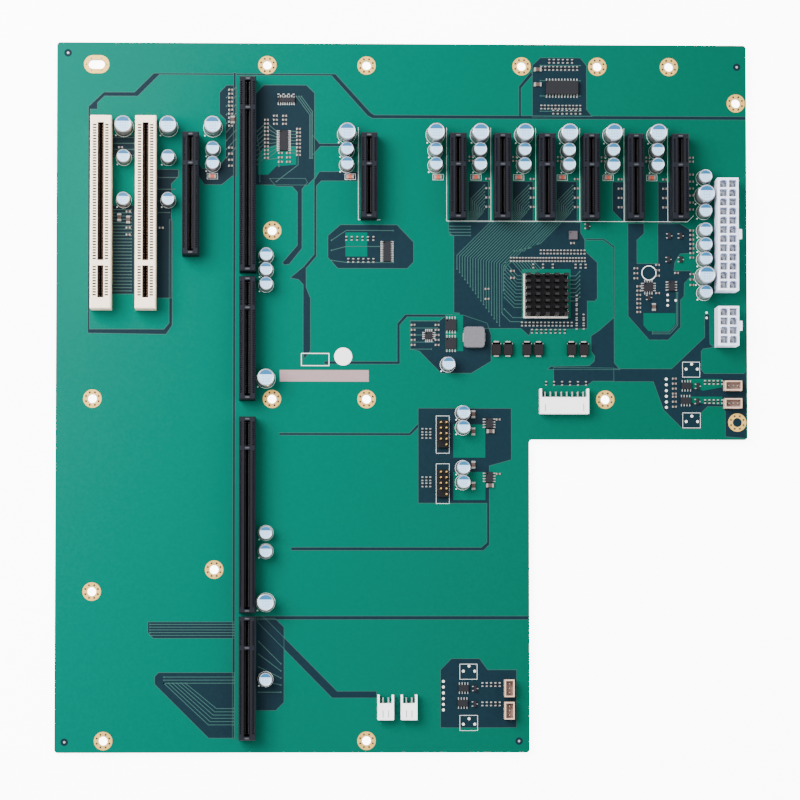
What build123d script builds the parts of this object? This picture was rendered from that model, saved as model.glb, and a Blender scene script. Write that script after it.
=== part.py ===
from build123d import *

import os

# Passive backplane: an L-shaped board with card slots, a host board's connector
# column, power headers, capacitors and a small switch chip under a heatsink.
# Lengths are in millimetres. X runs across the slots, Y up the board and Z off
# its component side. Z is 0 at the tips of the solder tails that it stands on.

# Board
SLOT_PITCH = 20.32
SLOT_PLACES = 14
LEFT_MARGIN = 20.7
RIGHT_MARGIN = 31.6
TOP_MARGIN = 17.0
BOTTOM_MARGIN = 5.9
BOARD_THICKNESS = 2.0
CORNER_RADIUS = 1.5
NOTCH_WIDTH = 100.4
NOTCH_LENGTH = 142.7
TAIL_LENGTH = 1.8

# Card slots for lanes in a row, and the older parallel bus slots
LANE_SLOT_LENGTH = {4: 39.0, 8: 56.0, 16: 89.0}
LANE_SLOT_WIDTH = 7.5
LANE_SLOT_HEIGHT = 11.25
LANE_END_WALL = 1.8
LANE_KEY_FROM_END = 14.2
LANE_KEY_WIDTH = 1.8
LANE_GALLERY_OFFSET = 2.8
LANE_GALLERY_WIDTH = 1.0
GALLERY_DEPTH = 3.0
CARD_THICKNESS = 1.57
CARD_CLEARANCE = 0.33
CARD_DEPTH = 8.6
LEAD_IN_WIDTH = 0.45
LEAD_IN_DEPTH = 0.7
TOP_CHAMFER = 0.5
BUS_SLOT_WIDTH = 9.5
BUS_SLOT_HEIGHT = 11.4
BUS_CONTACT_PITCH = 1.27
BUS_LONG_ROW = 49
BUS_KEY_PLACES = 2
BUS_SHORT_ROW = 11
BUS_ROW_CLEARANCE = 1.2
BUS_KEY_WIDTH = 2.3
BUS_TOP_WALL = 3.2
BUS_BOTTOM_WALL = 4.9
BUS_GALLERY_OFFSET = 2.8
BUS_GALLERY_WIDTH = 1.3
PEG_SIZE = 2.3
PEG_FROM_END = 4.0
LANE_SLOTS_FROM_TOP = 42.5
BUS_SLOTS_FROM_TOP = 35.2
BUS_SLOT_PLACES = [0, 1]
EIGHT_LANE_PLACE = 2
FOUR_LANE_PLACES = [6, 8, 9, 10, 11, 12, 13]

# Host board's connector column, from the top: 16, 8, 16 and 8 lanes
HOST_FROM_EIGHT_LANE = 26.0
HOST_LANES = [16, 8, 16, 8]
HOST_GAPS = [2.4, 7.8, 1.5]

# Mounting holes, as distances from the board's edges
HOLE_RADIUS = 2.0
SLOTTED_HOLE_RADIUS = 2.1
SLOTTED_HOLE_LENGTH = 7.4
HOLE_TOP_ROW = 10.1
HOLE_MIDDLE_ROW = 163.5
HOLE_BOTTOM_ROW = 5.4
HOLE_LEFT_COLUMN = 16.7
HOLE_HOST_COLUMN = 98.5
HOLE_CENTRE_COLUMN = 141.7
HOLE_RIGHT_COLUMN = 4.75
SLOTTED_HOLE_FROM_LEFT = 18.1
HOLE_TOP_FROM_LEFT = 96.2
HOLES_TOP_FROM_RIGHT = [103.5, 68.6, 35.6]
HOLE_HOST_FROM_TOP = 86.3
HOLE_MIDDLE_FROM_RIGHT = 65.4
HOLES_RIGHT_FROM_TOP = [26.8, 173.9]
LONE_HOLE = (72.3, 83.2)
HOLE_LEFT_FROM_BOTTOM = 73.2
HOLE_CORNER_FROM_LEFT = 22.1

# Round capacitors: radius and height, and their places beside the slots
LARGE_CAP = (4.0, 11.5)
SMALL_CAP = (3.15, 8.0)
LARGE_CAP_SIDES = 16
SMALL_CAP_SIDES = 12
CAP_FROM_SLOT = 10.0
LARGE_CAP_FROM_TOP = 41.9
SMALL_CAPS_FROM_TOP = [49.3, 56.1]
LEFT_LARGE_CAP_FROM_TOP = 39.1
BUS_SMALL_CAPS_FROM_TOP = [53.2, 72.7]
CAP_FROM_HOST = 8.4
HOST_LARGE_CAPS_FROM_TOP = [154.3, 256.3]
HOST_SMALL_CAPS_FROM_TOP = [97.9, 104.6, 111.2, 224.7, 233.0, 291.2]
POWER_CAPS_FROM_RIGHT = 19.8
POWER_LARGE_CAPS_FROM_TOP = [69.7, 107.0]
POWER_SMALL_CAPS_FROM_TOP = [61.4, 77.1, 85.8, 92.5, 99.1, 114.4]

# Power headers: two rows of square pins in an open shroud, latched on the right
POWER_PITCH = 4.2
POWER_WIDTH = 9.6
POWER_END = 2.7
POWER_HEIGHT = 12.8
POWER_FLOOR = 3.0
POWER_CAVITY = 3.4
POWER_PIN = 1.07
POWER_PIN_RECESS = 3.2
POWER_FROM_RIGHT = 10.2
MAIN_POWER_ROWS = 12
MAIN_POWER_FROM_TOP = 88.6
HOST_POWER_ROWS = 4
HOST_POWER_FROM_TOP = 130.5
LATCH_LENGTH = 4.4
LATCH_REACH = 1.4
LATCH_HEIGHT = 4.0

# Side-entry headers, whose mouths face down the board
SIDE_PITCH = 2.5
SIDE_END = 2.45
SIDE_DEPTH = 11.5
SIDE_HEIGHT = 6.1
SIDE_EAR_DEPTH = 3.9
SIDE_WALL = 0.9
SIDE_BACK_WALL = 1.2
SIDE_PIN = 0.64
SIDE_PIN_HEIGHT = 3.2
SIDE_PIN_REACH = 4.6
SIDE_PIN_DROP = 1.6
EIGHT_WAY_FROM_RIGHT = 84.6
EIGHT_WAY_BELOW_CHIP = 48.3
TWO_WAY_FROM_LEFT = [150.3, 160.9]
TWO_WAY_FROM_BOTTOM = 20.7

# Small shrouded headers with three pins in a row
SHROUD_LENGTH = 7.9
SHROUD_WIDTH = 4.5
SHROUD_HEIGHT = 6.0
SHROUD_WALL = 0.6
SHROUD_FLOOR = 1.5
SHROUD_PITCH = 2.0
SHROUD_PINS = 3
SHROUD_PIN = 0.5
SHROUD_PIN_RECESS = 1.2
SHROUD_RIGHT_FROM_RIGHT = 7.2
SHROUD_RIGHT_FROM_TOP = [157.3, 165.35]
SHROUD_LOWER_FROM_NOTCH = 9.5
SHROUD_LOWER_FROM_BOTTOM = [29.3, 19.15]

# Pin headers, two columns of five with one pin left out as a key
PIN_PITCH = 2.54
PIN_ROWS = 5
PIN_SIZE = 0.64
PIN_TIP_HEIGHT = 8.5
PIN_BASE_HEIGHT = 2.54
PIN_HEADER_FROM_LEFT = 176.6
PIN_HEADERS_FROM_TOP = [179.4, 202.0]
FAN_CAP_FROM_HEADER = 9.1
FAN_CAPS_ABOVE_HEADER = [[2.9, 9.6], [0.5, 7.1]]

# Switch chip and its pin-fin heatsink
CHIP_SIZE = 19.0
CHIP_HEIGHT = 2.0
CHIP_FROM_RIGHT = 93.0
CHIP_FROM_TOP = 116.3
SINK_SIZE = 20.4
SINK_BASE = 1.8
SINK_HEIGHT = 7.6
SINK_COLUMNS = 5
SINK_ROWS = 7
SINK_FIN_WIDTH = 2.2
SINK_FIN_LENGTH = 1.4

# Board-top power parts
INDUCTOR_SIZE = 9.6
INDUCTOR_HEIGHT = 4.0
INDUCTOR_CORNER = 1.4
INDUCTOR_FROM_CHIP = (-32.6, -18.9)
TERMINAL_WIDTH = 4.0
TERMINAL_THICKNESS = 0.3
TERMINAL_HEIGHT = 2.2
TANTALUM_LENGTH = 7.3
TANTALUM_WIDTH = 4.3
TANTALUM_HEIGHT = 2.8
TANTALUM_CHAMFER = 0.4
TANTALUMS_FROM_CHIP = [-22.4, -17.05, -8.35, -3.05, 12.05, 17.7]
TANTALUM_BELOW_CHIP = 24.1
LONE_CAP_FROM_CHIP = (-44.6, -31.3)

# Flat chips: width along X, length along Y, height and centre from the right and top edges
CHIP_CHAMFER = 0.2
CHIP_STANDOFF = 0.1
FLAT_CHIPS = {
    "clock_buffer": (8.2, 3.2, 1.5, 211.6, 26.2),
    "left_link_driver": (5.0, 9.7, 1.1, 212.7, 44.9),
    "top_link_driver": (15.4, 7.5, 2.4, 85.0, 20.1),
    "centre_link_driver": (4.6, 9.7, 1.1, 165.4, 95.7),
    "power_monitor": (3.9, 4.9, 1.5, 34.8, 111.2),
    "clock_source": (4.4, 4.4, 1.1, 45.4, 111.7),
    "reset_chip": (4.1, 4.1, 1.1, 79.9, 88.0),
    "regulator_chip": (3.6, 3.6, 0.9, 146.3, 134.3),
}
FLAT_CHIP_PAIRS = {
    "fan_controllers": (4.4, 4.9, 1.5, 118.7, [174.4, 199.2]),
    "power_transistors": (5.0, 5.4, 1.1, 136.1, [129.4, 137.9]),
}

# Worked out from the above
HOST_LENGTH = sum(LANE_SLOT_LENGTH[lanes] for lanes in HOST_LANES) + sum(HOST_GAPS)
BOARD_WIDTH = LEFT_MARGIN + (SLOT_PLACES - 1) * SLOT_PITCH + RIGHT_MARGIN
BOARD_LENGTH = TOP_MARGIN + HOST_LENGTH + BOTTOM_MARGIN
BOARD_TOP = TAIL_LENGTH + BOARD_THICKNESS
CARD_OPENING = CARD_THICKNESS + CARD_CLEARANCE
UP = (Align.CENTER, Align.CENTER, Align.MIN)
DOWN = (Align.CENTER, Align.CENTER, Align.MAX)


def from_left(distance):
    return distance - BOARD_WIDTH / 2


def from_right(distance):
    return BOARD_WIDTH / 2 - distance


def from_top(distance):
    return BOARD_LENGTH / 2 - distance


def from_bottom(distance):
    return distance - BOARD_LENGTH / 2


def place_x(place):
    """Centre line of a place on the card slots' grid."""
    return from_left(LEFT_MARGIN + place * SLOT_PITCH)


def host_x():
    return place_x(EIGHT_LANE_PLACE) + HOST_FROM_EIGHT_LANE


def notch_corner():
    return from_right(NOTCH_WIDTH), from_bottom(NOTCH_LENGTH)


def spread(count, pitch):
    """Evenly spaced offsets about zero."""
    return [(index - (count - 1) / 2) * pitch for index in range(count)]


# Where each thing sits


def lane_slots():
    """Every lane slot's name, lanes, centre line and top end."""
    top = from_top(LANE_SLOTS_FROM_TOP)
    slots = [("eight_lane_slot", 8, place_x(EIGHT_LANE_PLACE), top)]
    for number, place in enumerate(FOUR_LANE_PLACES, start=1):
        slots.append((f"four_lane_slot_{number}", 4, place_x(place), top))
    end = from_top(TOP_MARGIN)
    for number, lanes in enumerate(HOST_LANES):
        slots.append((f"host_connector_{'abcd'[number]}", lanes, host_x(), end))
        end -= LANE_SLOT_LENGTH[lanes]
        if number < len(HOST_GAPS):
            end -= HOST_GAPS[number]
    return slots


def bus_slot_length():
    places = BUS_LONG_ROW + BUS_KEY_PLACES + BUS_SHORT_ROW
    run = (places - 1) * BUS_CONTACT_PITCH + 2 * BUS_ROW_CLEARANCE
    return BUS_TOP_WALL + run + BUS_BOTTOM_WALL


def peg_places():
    """Centre of each slot housing's two locating pegs."""
    ends = []
    for _, lanes, x, top in lane_slots():
        ends.append((x, top, top - LANE_SLOT_LENGTH[lanes]))
    for place in BUS_SLOT_PLACES:
        top = from_top(BUS_SLOTS_FROM_TOP)
        ends.append((place_x(place), top, top - bus_slot_length()))
    places = []
    for x, top, bottom in ends:
        places += [(x, top - PEG_FROM_END), (x, bottom + PEG_FROM_END)]
    return places


def power_header_pins(rows, distance_from_top):
    x = from_right(POWER_FROM_RIGHT)
    y = from_top(distance_from_top)
    return [(x + dx, y + dy) for dx in spread(2, POWER_PITCH) for dy in spread(rows, POWER_PITCH)]


def side_headers():
    """Name, ways and centre of each side-entry header."""
    chip_y = chip_place()[1]
    headers = [("eight_way", 8, from_right(EIGHT_WAY_FROM_RIGHT), chip_y - EIGHT_WAY_BELOW_CHIP)]
    for number, distance in enumerate(TWO_WAY_FROM_LEFT, start=1):
        headers.append((f"two_way_{number}", 2, from_left(distance), from_bottom(TWO_WAY_FROM_BOTTOM)))
    return headers


def side_pin_places(ways, x, y):
    back = y + SIDE_DEPTH / 2 - SIDE_PIN_DROP
    return [(x + dx, back) for dx in spread(ways, SIDE_PITCH)]


def shrouded_headers():
    """Name, centre and turn of each small shrouded header."""
    headers = []
    for number, distance in enumerate(SHROUD_RIGHT_FROM_TOP, start=1):
        headers.append((f"sensor_{number}", from_right(SHROUD_RIGHT_FROM_RIGHT), from_top(distance), 0))
    for number, distance in enumerate(SHROUD_LOWER_FROM_BOTTOM, start=3):
        x = notch_corner()[0] - SHROUD_LOWER_FROM_NOTCH
        headers.append((f"sensor_{number}", x, from_bottom(distance), 90))
    return headers


def shroud_pin_places(x, y, turn):
    if turn:
        return [(x, y + step) for step in spread(SHROUD_PINS, SHROUD_PITCH)]
    return [(x + step, y) for step in spread(SHROUD_PINS, SHROUD_PITCH)]


def pin_header_places(distance_from_top):
    """Pins of one pin header, without the keyed place at its lower left."""
    x = from_left(PIN_HEADER_FROM_LEFT)
    y = from_top(distance_from_top)
    keyed = (-PIN_PITCH / 2, spread(PIN_ROWS, PIN_PITCH)[0])
    offsets = [(dx, dy) for dx in spread(2, PIN_PITCH) for dy in spread(PIN_ROWS, PIN_PITCH)]
    return [(x + dx, y + dy) for dx, dy in offsets if (dx, dy) != keyed]


def mounting_holes():
    """Centre of every round mounting hole."""
    top = from_top(HOLE_TOP_ROW)
    middle = from_top(HOLE_MIDDLE_ROW)
    bottom = from_bottom(HOLE_BOTTOM_ROW)
    left = from_left(HOLE_LEFT_COLUMN)
    host = from_left(HOLE_HOST_COLUMN)
    centre = from_left(HOLE_CENTRE_COLUMN)
    holes = [(from_left(HOLE_TOP_FROM_LEFT), top), (centre, top)]
    holes += [(from_right(distance), top) for distance in HOLES_TOP_FROM_RIGHT]
    holes += [(from_right(HOLE_RIGHT_COLUMN), from_top(distance)) for distance in HOLES_RIGHT_FROM_TOP]
    holes += [(host, from_top(HOLE_HOST_FROM_TOP)), (host, middle), (centre, middle), (left, middle)]
    holes += [(from_right(HOLE_MIDDLE_FROM_RIGHT), middle)]
    holes += [(from_left(LONE_HOLE[0]), from_bottom(LONE_HOLE[1]))]
    holes += [(left, from_bottom(HOLE_LEFT_FROM_BOTTOM))]
    holes += [(from_left(HOLE_CORNER_FROM_LEFT), bottom), (centre, bottom)]
    return holes


def soldered_pins():
    """Size and places of every set of pins that passes through the board."""
    pins = [(POWER_PIN, power_header_pins(MAIN_POWER_ROWS, MAIN_POWER_FROM_TOP))]
    pins.append((POWER_PIN, power_header_pins(HOST_POWER_ROWS, HOST_POWER_FROM_TOP)))
    pins += [(SIDE_PIN, side_pin_places(ways, x, y)) for _, ways, x, y in side_headers()]
    pins += [(SHROUD_PIN, shroud_pin_places(x, y, turn)) for _, x, y, turn in shrouded_headers()]
    pins += [(PIN_SIZE, pin_header_places(distance)) for distance in PIN_HEADERS_FROM_TOP]
    return pins


# Pieces


def board():
    """The bare board, drilled for its screws, pins and locating pegs."""
    left, right = from_left(0), from_right(0)
    bottom, top = from_bottom(0), from_top(0)
    notch_x, notch_y = notch_corner()
    corners = [(left, bottom), (notch_x, bottom), (notch_x, notch_y)]
    corners += [(right, notch_y), (right, top), (left, top)]
    outline = make_face(Polyline(*corners, close=True))
    outline = fillet(outline.vertices(), CORNER_RADIUS)
    cuts = [Pos(x, y) * Circle(HOLE_RADIUS) for x, y in mounting_holes()]
    slotted = SlotOverall(SLOTTED_HOLE_LENGTH, 2 * SLOTTED_HOLE_RADIUS)
    cuts.append(Pos(from_left(SLOTTED_HOLE_FROM_LEFT), from_top(HOLE_TOP_ROW)) * slotted)
    for size, places in soldered_pins():
        cuts += [Pos(x, y) * Rectangle(size, size) for x, y in places]
    cuts += [Pos(x, y) * Rectangle(PEG_SIZE, PEG_SIZE) for x, y in peg_places()]
    return Pos(0, 0, TAIL_LENGTH) * extrude(outline - cuts, BOARD_THICKNESS)


def peg():
    """A square peg under a housing, as long as the board is thick and the tails together."""
    return Box(PEG_SIZE, PEG_SIZE, BOARD_TOP, align=DOWN)


def opening(centre, length, width, depth, top):
    """A straight-sided opening cut down from a housing's top face."""
    return Pos(0, centre, top) * Box(width, length, depth, align=DOWN)


def card_opening(centre, length, top):
    """A card edge's opening, a little wider at the mouth to lead the card in."""
    slot = opening(centre, length, CARD_OPENING, CARD_DEPTH, top)
    mouth = opening(centre, length, CARD_OPENING + 2 * LEAD_IN_WIDTH, LEAD_IN_DEPTH, top)
    return slot + mouth


def slot_housing(width, length, height):
    """A housing's body with eased top edges and two pegs, its top end at Y of 0."""
    body = Pos(0, -length / 2) * Box(width, length, height, align=UP)
    body = chamfer(body.faces().sort_by(Axis.Z)[-1].edges().filter_by(Axis.Y), TOP_CHAMFER)
    pegs = [Pos(0, -PEG_FROM_END) * peg(), Pos(0, PEG_FROM_END - length) * peg()]
    return body + pegs


def slot_cuts(runs, height, gallery_offset, gallery_width):
    """Card openings along each run, with a contact gallery on both sides."""
    cuts = []
    for start, end in runs:
        centre, run = (start + end) / 2, start - end
        cuts.append(card_opening(centre, run, height))
        gallery = opening(centre, run, gallery_width, GALLERY_DEPTH, height)
        cuts += [Pos(side * gallery_offset) * gallery for side in (-1, 1)]
    return cuts


def lane_slot(lanes):
    """A lane slot: a short and a long card opening, parted by the key."""
    length = LANE_SLOT_LENGTH[lanes]
    half_key = LANE_KEY_WIDTH / 2
    runs = [(-LANE_END_WALL, -LANE_KEY_FROM_END + half_key)]
    runs.append((-LANE_KEY_FROM_END - half_key, LANE_END_WALL - length))
    housing = slot_housing(LANE_SLOT_WIDTH, length, LANE_SLOT_HEIGHT)
    return housing - slot_cuts(runs, LANE_SLOT_HEIGHT, LANE_GALLERY_OFFSET, LANE_GALLERY_WIDTH)


def bus_slot():
    """A parallel bus slot: a long and a short card opening, parted by the key."""
    length = bus_slot_length()
    first = -BUS_TOP_WALL - BUS_ROW_CLEARANCE
    key = first - (BUS_LONG_ROW + (BUS_KEY_PLACES - 1) / 2) * BUS_CONTACT_PITCH
    half_key = BUS_KEY_WIDTH / 2
    runs = [(-BUS_TOP_WALL, key + half_key), (key - half_key, BUS_BOTTOM_WALL - length)]
    housing = slot_housing(BUS_SLOT_WIDTH, length, BUS_SLOT_HEIGHT)
    return housing - slot_cuts(runs, BUS_SLOT_HEIGHT, BUS_GALLERY_OFFSET, BUS_GALLERY_WIDTH)


def square_pin(size, top):
    """A straight pin from the tail's tip to a height above the board."""
    return Box(size, size, BOARD_TOP + top, align=UP)


def pins_at(places, size, top):
    return [Pos(x, y) * square_pin(size, top) for x, y in places]


def latch():
    """The wedge that a plug's latch hooks under, on a power header's right side."""
    profile = make_face(Polyline((0, 0), (LATCH_REACH, 0), (0, -LATCH_HEIGHT), close=True))
    wedge = extrude(Plane.XZ * profile, LATCH_LENGTH / 2, both=True)
    return Pos(POWER_WIDTH / 2, 0, POWER_HEIGHT) * wedge


def power_header(rows, distance_from_top):
    """A power header's shroud, the walls that part its pins' cavities, and its pins."""
    pin_span = (rows - 1) * POWER_PITCH
    depth = POWER_HEIGHT - POWER_FLOOR
    channel = Pos(0, 0, POWER_HEIGHT) * Box(POWER_CAVITY, pin_span + POWER_CAVITY, depth, align=DOWN)
    shroud = Box(POWER_WIDTH, pin_span + 2 * POWER_END, POWER_HEIGHT, align=UP) + latch()
    shroud -= [Pos(x) * channel for x in spread(2, POWER_PITCH)]
    wall = Pos(0, 0, POWER_FLOOR) * Box(POWER_CAVITY, POWER_PITCH - POWER_CAVITY, depth, align=UP)
    walls = [Pos(x, y) * wall for x in spread(2, POWER_PITCH) for y in spread(rows - 1, POWER_PITCH)]
    seat = Pos(from_right(POWER_FROM_RIGHT), from_top(distance_from_top), BOARD_TOP)
    places = power_header_pins(rows, distance_from_top)
    pins = pins_at(places, POWER_PIN, POWER_HEIGHT - POWER_PIN_RECESS)
    return seat * shroud - pins, [seat * wall for wall in walls], pins


def bent_pin():
    """A pin that runs level out of the header's back and turns down through the board."""
    level = SIDE_PIN_REACH + SIDE_BACK_WALL + SIDE_EAR_DEPTH - SIDE_PIN_DROP + SIDE_PIN / 2
    level_bar = Pos(0, SIDE_PIN / 2, BOARD_TOP + SIDE_PIN_HEIGHT) * Box(
        SIDE_PIN, level, SIDE_PIN, align=(Align.CENTER, Align.MAX, Align.CENTER)
    )
    return level_bar + square_pin(SIDE_PIN, SIDE_PIN_HEIGHT)


def side_header(ways, x, y):
    """A side-entry header: an open mouth, a back wall, two ears and its bent pins."""
    width = (ways - 1) * SIDE_PITCH + 2 * SIDE_END
    mouth_depth = SIDE_DEPTH - SIDE_EAR_DEPTH - SIDE_BACK_WALL
    inner = width - 2 * SIDE_WALL
    low = (Align.CENTER, Align.MIN, Align.MIN)
    body = Box(width, SIDE_DEPTH, SIDE_HEIGHT, align=UP)
    mouth = Pos(0, -SIDE_DEPTH / 2, SIDE_WALL) * Box(
        inner, mouth_depth, SIDE_HEIGHT - 2 * SIDE_WALL, align=low
    )
    back = Pos(0, SIDE_DEPTH / 2 - SIDE_EAR_DEPTH) * Box(inner, SIDE_EAR_DEPTH, SIDE_HEIGHT, align=low)
    body = Pos(x, y, BOARD_TOP) * (body - [mouth, back])
    pins = [Pos(px, py) * bent_pin() for px, py in side_pin_places(ways, x, y)]
    return body - pins, pins


def shrouded_header(x, y, turn):
    """A small shrouded header, open at the top, with a gap in one long wall."""
    inner_length = SHROUD_LENGTH - 2 * SHROUD_WALL
    inner_width = SHROUD_WIDTH - 2 * SHROUD_WALL
    depth = SHROUD_HEIGHT - SHROUD_FLOOR
    body = Box(SHROUD_LENGTH, SHROUD_WIDTH, SHROUD_HEIGHT, align=UP)
    body -= Pos(0, 0, SHROUD_HEIGHT) * Box(inner_length, inner_width, depth, align=DOWN)
    gap = Box(SHROUD_PITCH, SHROUD_WALL, depth, align=(Align.CENTER, Align.MIN, Align.MAX))
    body -= Pos(0, inner_width / 2, SHROUD_HEIGHT) * gap
    body = Pos(x, y, BOARD_TOP) * Rot(0, 0, turn) * body
    pins = pins_at(shroud_pin_places(x, y, turn), SHROUD_PIN, SHROUD_HEIGHT - SHROUD_PIN_RECESS)
    return body - pins, pins


def pin_header(distance_from_top):
    """A pin header's low base and its pins."""
    base = Box(2 * PIN_PITCH, PIN_ROWS * PIN_PITCH, PIN_BASE_HEIGHT, align=UP)
    base = Pos(from_left(PIN_HEADER_FROM_LEFT), from_top(distance_from_top), BOARD_TOP) * base
    pins = pins_at(pin_header_places(distance_from_top), PIN_SIZE, PIN_TIP_HEIGHT)
    return base - pins, pins


def large_capacitor_places():
    """Centres of the large round capacitors, by the area that they serve."""
    slot_row = [(place_x(place) - CAP_FROM_SLOT, from_top(LARGE_CAP_FROM_TOP)) for place in FOUR_LANE_PLACES]
    left_row = [(place_x(place) + CAP_FROM_SLOT, from_top(LEFT_LARGE_CAP_FROM_TOP))
                for place in BUS_SLOT_PLACES + [EIGHT_LANE_PLACE]]
    host = [(host_x() + CAP_FROM_HOST, from_top(distance)) for distance in HOST_LARGE_CAPS_FROM_TOP]
    power_x = from_right(POWER_CAPS_FROM_RIGHT)
    power = [(power_x, from_top(distance)) for distance in POWER_LARGE_CAPS_FROM_TOP]
    return {"slot": slot_row, "left": left_row, "host": host, "power": power}


def small_capacitor_places():
    """Centres of the small round capacitors, by the area that they serve."""
    slot_row = [(place_x(place) - CAP_FROM_SLOT, from_top(distance))
                for place in FOUR_LANE_PLACES for distance in SMALL_CAPS_FROM_TOP]
    left_row = [(place_x(place) + CAP_FROM_SLOT, from_top(distance))
                for place in BUS_SLOT_PLACES for distance in BUS_SMALL_CAPS_FROM_TOP]
    left_row += [(place_x(EIGHT_LANE_PLACE) + CAP_FROM_SLOT, from_top(distance))
                 for distance in SMALL_CAPS_FROM_TOP]
    host = [(host_x() + CAP_FROM_HOST, from_top(distance)) for distance in HOST_SMALL_CAPS_FROM_TOP]
    power_x = from_right(POWER_CAPS_FROM_RIGHT)
    power = [(power_x, from_top(distance)) for distance in POWER_SMALL_CAPS_FROM_TOP]
    fan_x = from_left(PIN_HEADER_FROM_LEFT) + FAN_CAP_FROM_HEADER
    fan = [(fan_x, from_top(header) + rise)
           for header, rises in zip(PIN_HEADERS_FROM_TOP, FAN_CAPS_ABOVE_HEADER) for rise in rises]
    chip = [(chip_place()[0] + LONE_CAP_FROM_CHIP[0], chip_place()[1] + LONE_CAP_FROM_CHIP[1])]
    return {"slot": slot_row, "left": left_row, "host": host, "power": power, "fan": fan + chip}


def capacitors(places, radius, height, sides):
    """Cans that stand on the board, with just enough sides to look round."""
    can = extrude(RegularPolygon(radius, sides), height)
    return [Pos(x, y, BOARD_TOP) * can for x, y in places]


def chip_place():
    return from_right(CHIP_FROM_RIGHT), from_top(CHIP_FROM_TOP)


def switch_chip():
    x, y = chip_place()
    return Pos(x, y, BOARD_TOP) * Box(CHIP_SIZE, CHIP_SIZE, CHIP_HEIGHT, align=UP)


def heatsink():
    """A square base plate with a grid of pin fins."""
    x, y = chip_place()
    base = Box(SINK_SIZE, SINK_SIZE, SINK_BASE, align=UP)
    fin_height = SINK_HEIGHT - SINK_BASE
    fin = Pos(0, 0, SINK_BASE) * Box(SINK_FIN_WIDTH, SINK_FIN_LENGTH, fin_height, align=UP)
    across = spread(SINK_COLUMNS, (SINK_SIZE - SINK_FIN_WIDTH) / (SINK_COLUMNS - 1))
    along = spread(SINK_ROWS, (SINK_SIZE - SINK_FIN_LENGTH) / (SINK_ROWS - 1))
    fins = [Pos(dx, dy) * fin for dx in across for dy in along]
    return Pos(x, y, BOARD_TOP + CHIP_HEIGHT) * (base + fins)


def inductor():
    """The moulded power inductor and its two wrapped terminals."""
    core = Box(INDUCTOR_SIZE, INDUCTOR_SIZE, INDUCTOR_HEIGHT, align=UP)
    core = chamfer(core.edges().filter_by(Axis.Z), INDUCTOR_CORNER)
    side = (Align.MIN, Align.CENTER, Align.MIN)
    plate = Box(TERMINAL_THICKNESS, TERMINAL_WIDTH, TERMINAL_HEIGHT, align=side)
    terminal = Pos(INDUCTOR_SIZE / 2) * plate
    x, y = chip_place()
    seat = Pos(x + INDUCTOR_FROM_CHIP[0], y + INDUCTOR_FROM_CHIP[1], BOARD_TOP)
    return seat * core, [seat * terminal, seat * Rot(0, 0, 180) * terminal]


def tantalum_capacitors():
    body = Box(TANTALUM_WIDTH, TANTALUM_LENGTH, TANTALUM_HEIGHT, align=UP)
    body = chamfer(body.faces().sort_by(Axis.Z)[-1].edges(), TANTALUM_CHAMFER)
    x, y = chip_place()
    return [Pos(x + dx, y - TANTALUM_BELOW_CHIP, BOARD_TOP) * body for dx in TANTALUMS_FROM_CHIP]


def flat_chip(width, length, height, distance_from_right, distance_from_top):
    """A flat chip's moulded body, standing on its leads' height off the board."""
    body = Box(width, length, height - CHIP_STANDOFF, align=UP)
    body = chamfer(body.faces().sort_by(Axis.Z)[-1].edges(), CHIP_CHAMFER)
    return Pos(from_right(distance_from_right), from_top(distance_from_top), BOARD_TOP + CHIP_STANDOFF) * body


def all_pieces():
    """Every piece by its name."""
    pieces = {"board": board()}
    for name, lanes, x, top in lane_slots():
        pieces[name] = Pos(x, top, BOARD_TOP) * lane_slot(lanes)
    for number, place in enumerate(BUS_SLOT_PLACES, start=1):
        seat = Pos(place_x(place), from_top(BUS_SLOTS_FROM_TOP), BOARD_TOP)
        pieces[f"bus_slot_{number}"] = seat * bus_slot()
    power_headers = {
        "main_power": (MAIN_POWER_ROWS, MAIN_POWER_FROM_TOP),
        "host_power": (HOST_POWER_ROWS, HOST_POWER_FROM_TOP),
    }
    for name, place in power_headers.items():
        shroud, walls, pins = power_header(*place)
        pieces[f"{name}_header"] = shroud
        pieces[f"{name}_cell_walls"] = walls
        pieces[f"{name}_pins"] = pins
    for name, ways, x, y in side_headers():
        pieces[f"{name}_header"], pieces[f"{name}_pins"] = side_header(ways, x, y)
    sensor_pins = []
    for name, x, y, turn in shrouded_headers():
        pieces[f"{name}_header"], pins = shrouded_header(x, y, turn)
        sensor_pins += pins
    pieces["sensor_pins"] = sensor_pins
    for number, distance in enumerate(PIN_HEADERS_FROM_TOP, start=1):
        pieces[f"fan_header_{number}"], pieces[f"fan_pins_{number}"] = pin_header(distance)
    for area, places in large_capacitor_places().items():
        pieces[f"large_capacitors_{area}"] = capacitors(places, *LARGE_CAP, LARGE_CAP_SIDES)
    for area, places in small_capacitor_places().items():
        pieces[f"small_capacitors_{area}"] = capacitors(places, *SMALL_CAP, SMALL_CAP_SIDES)
    pieces["switch_chip"] = switch_chip()
    pieces["heatsink"] = heatsink()
    pieces["inductor"], pieces["inductor_terminals"] = inductor()
    pieces["tantalum_capacitors"] = tantalum_capacitors()
    for name, size in FLAT_CHIPS.items():
        pieces[name] = flat_chip(*size)
    for name, (*size, tops) in FLAT_CHIP_PAIRS.items():
        pieces[name] = [flat_chip(*size, top) for top in tops]
    return pieces


os.makedirs("parts", exist_ok=True)
for piece_name, solid in all_pieces().items():
    shape = Compound(children=solid) if isinstance(solid, list) else solid
    export_step(shape, f"parts/{piece_name}.step")
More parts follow.
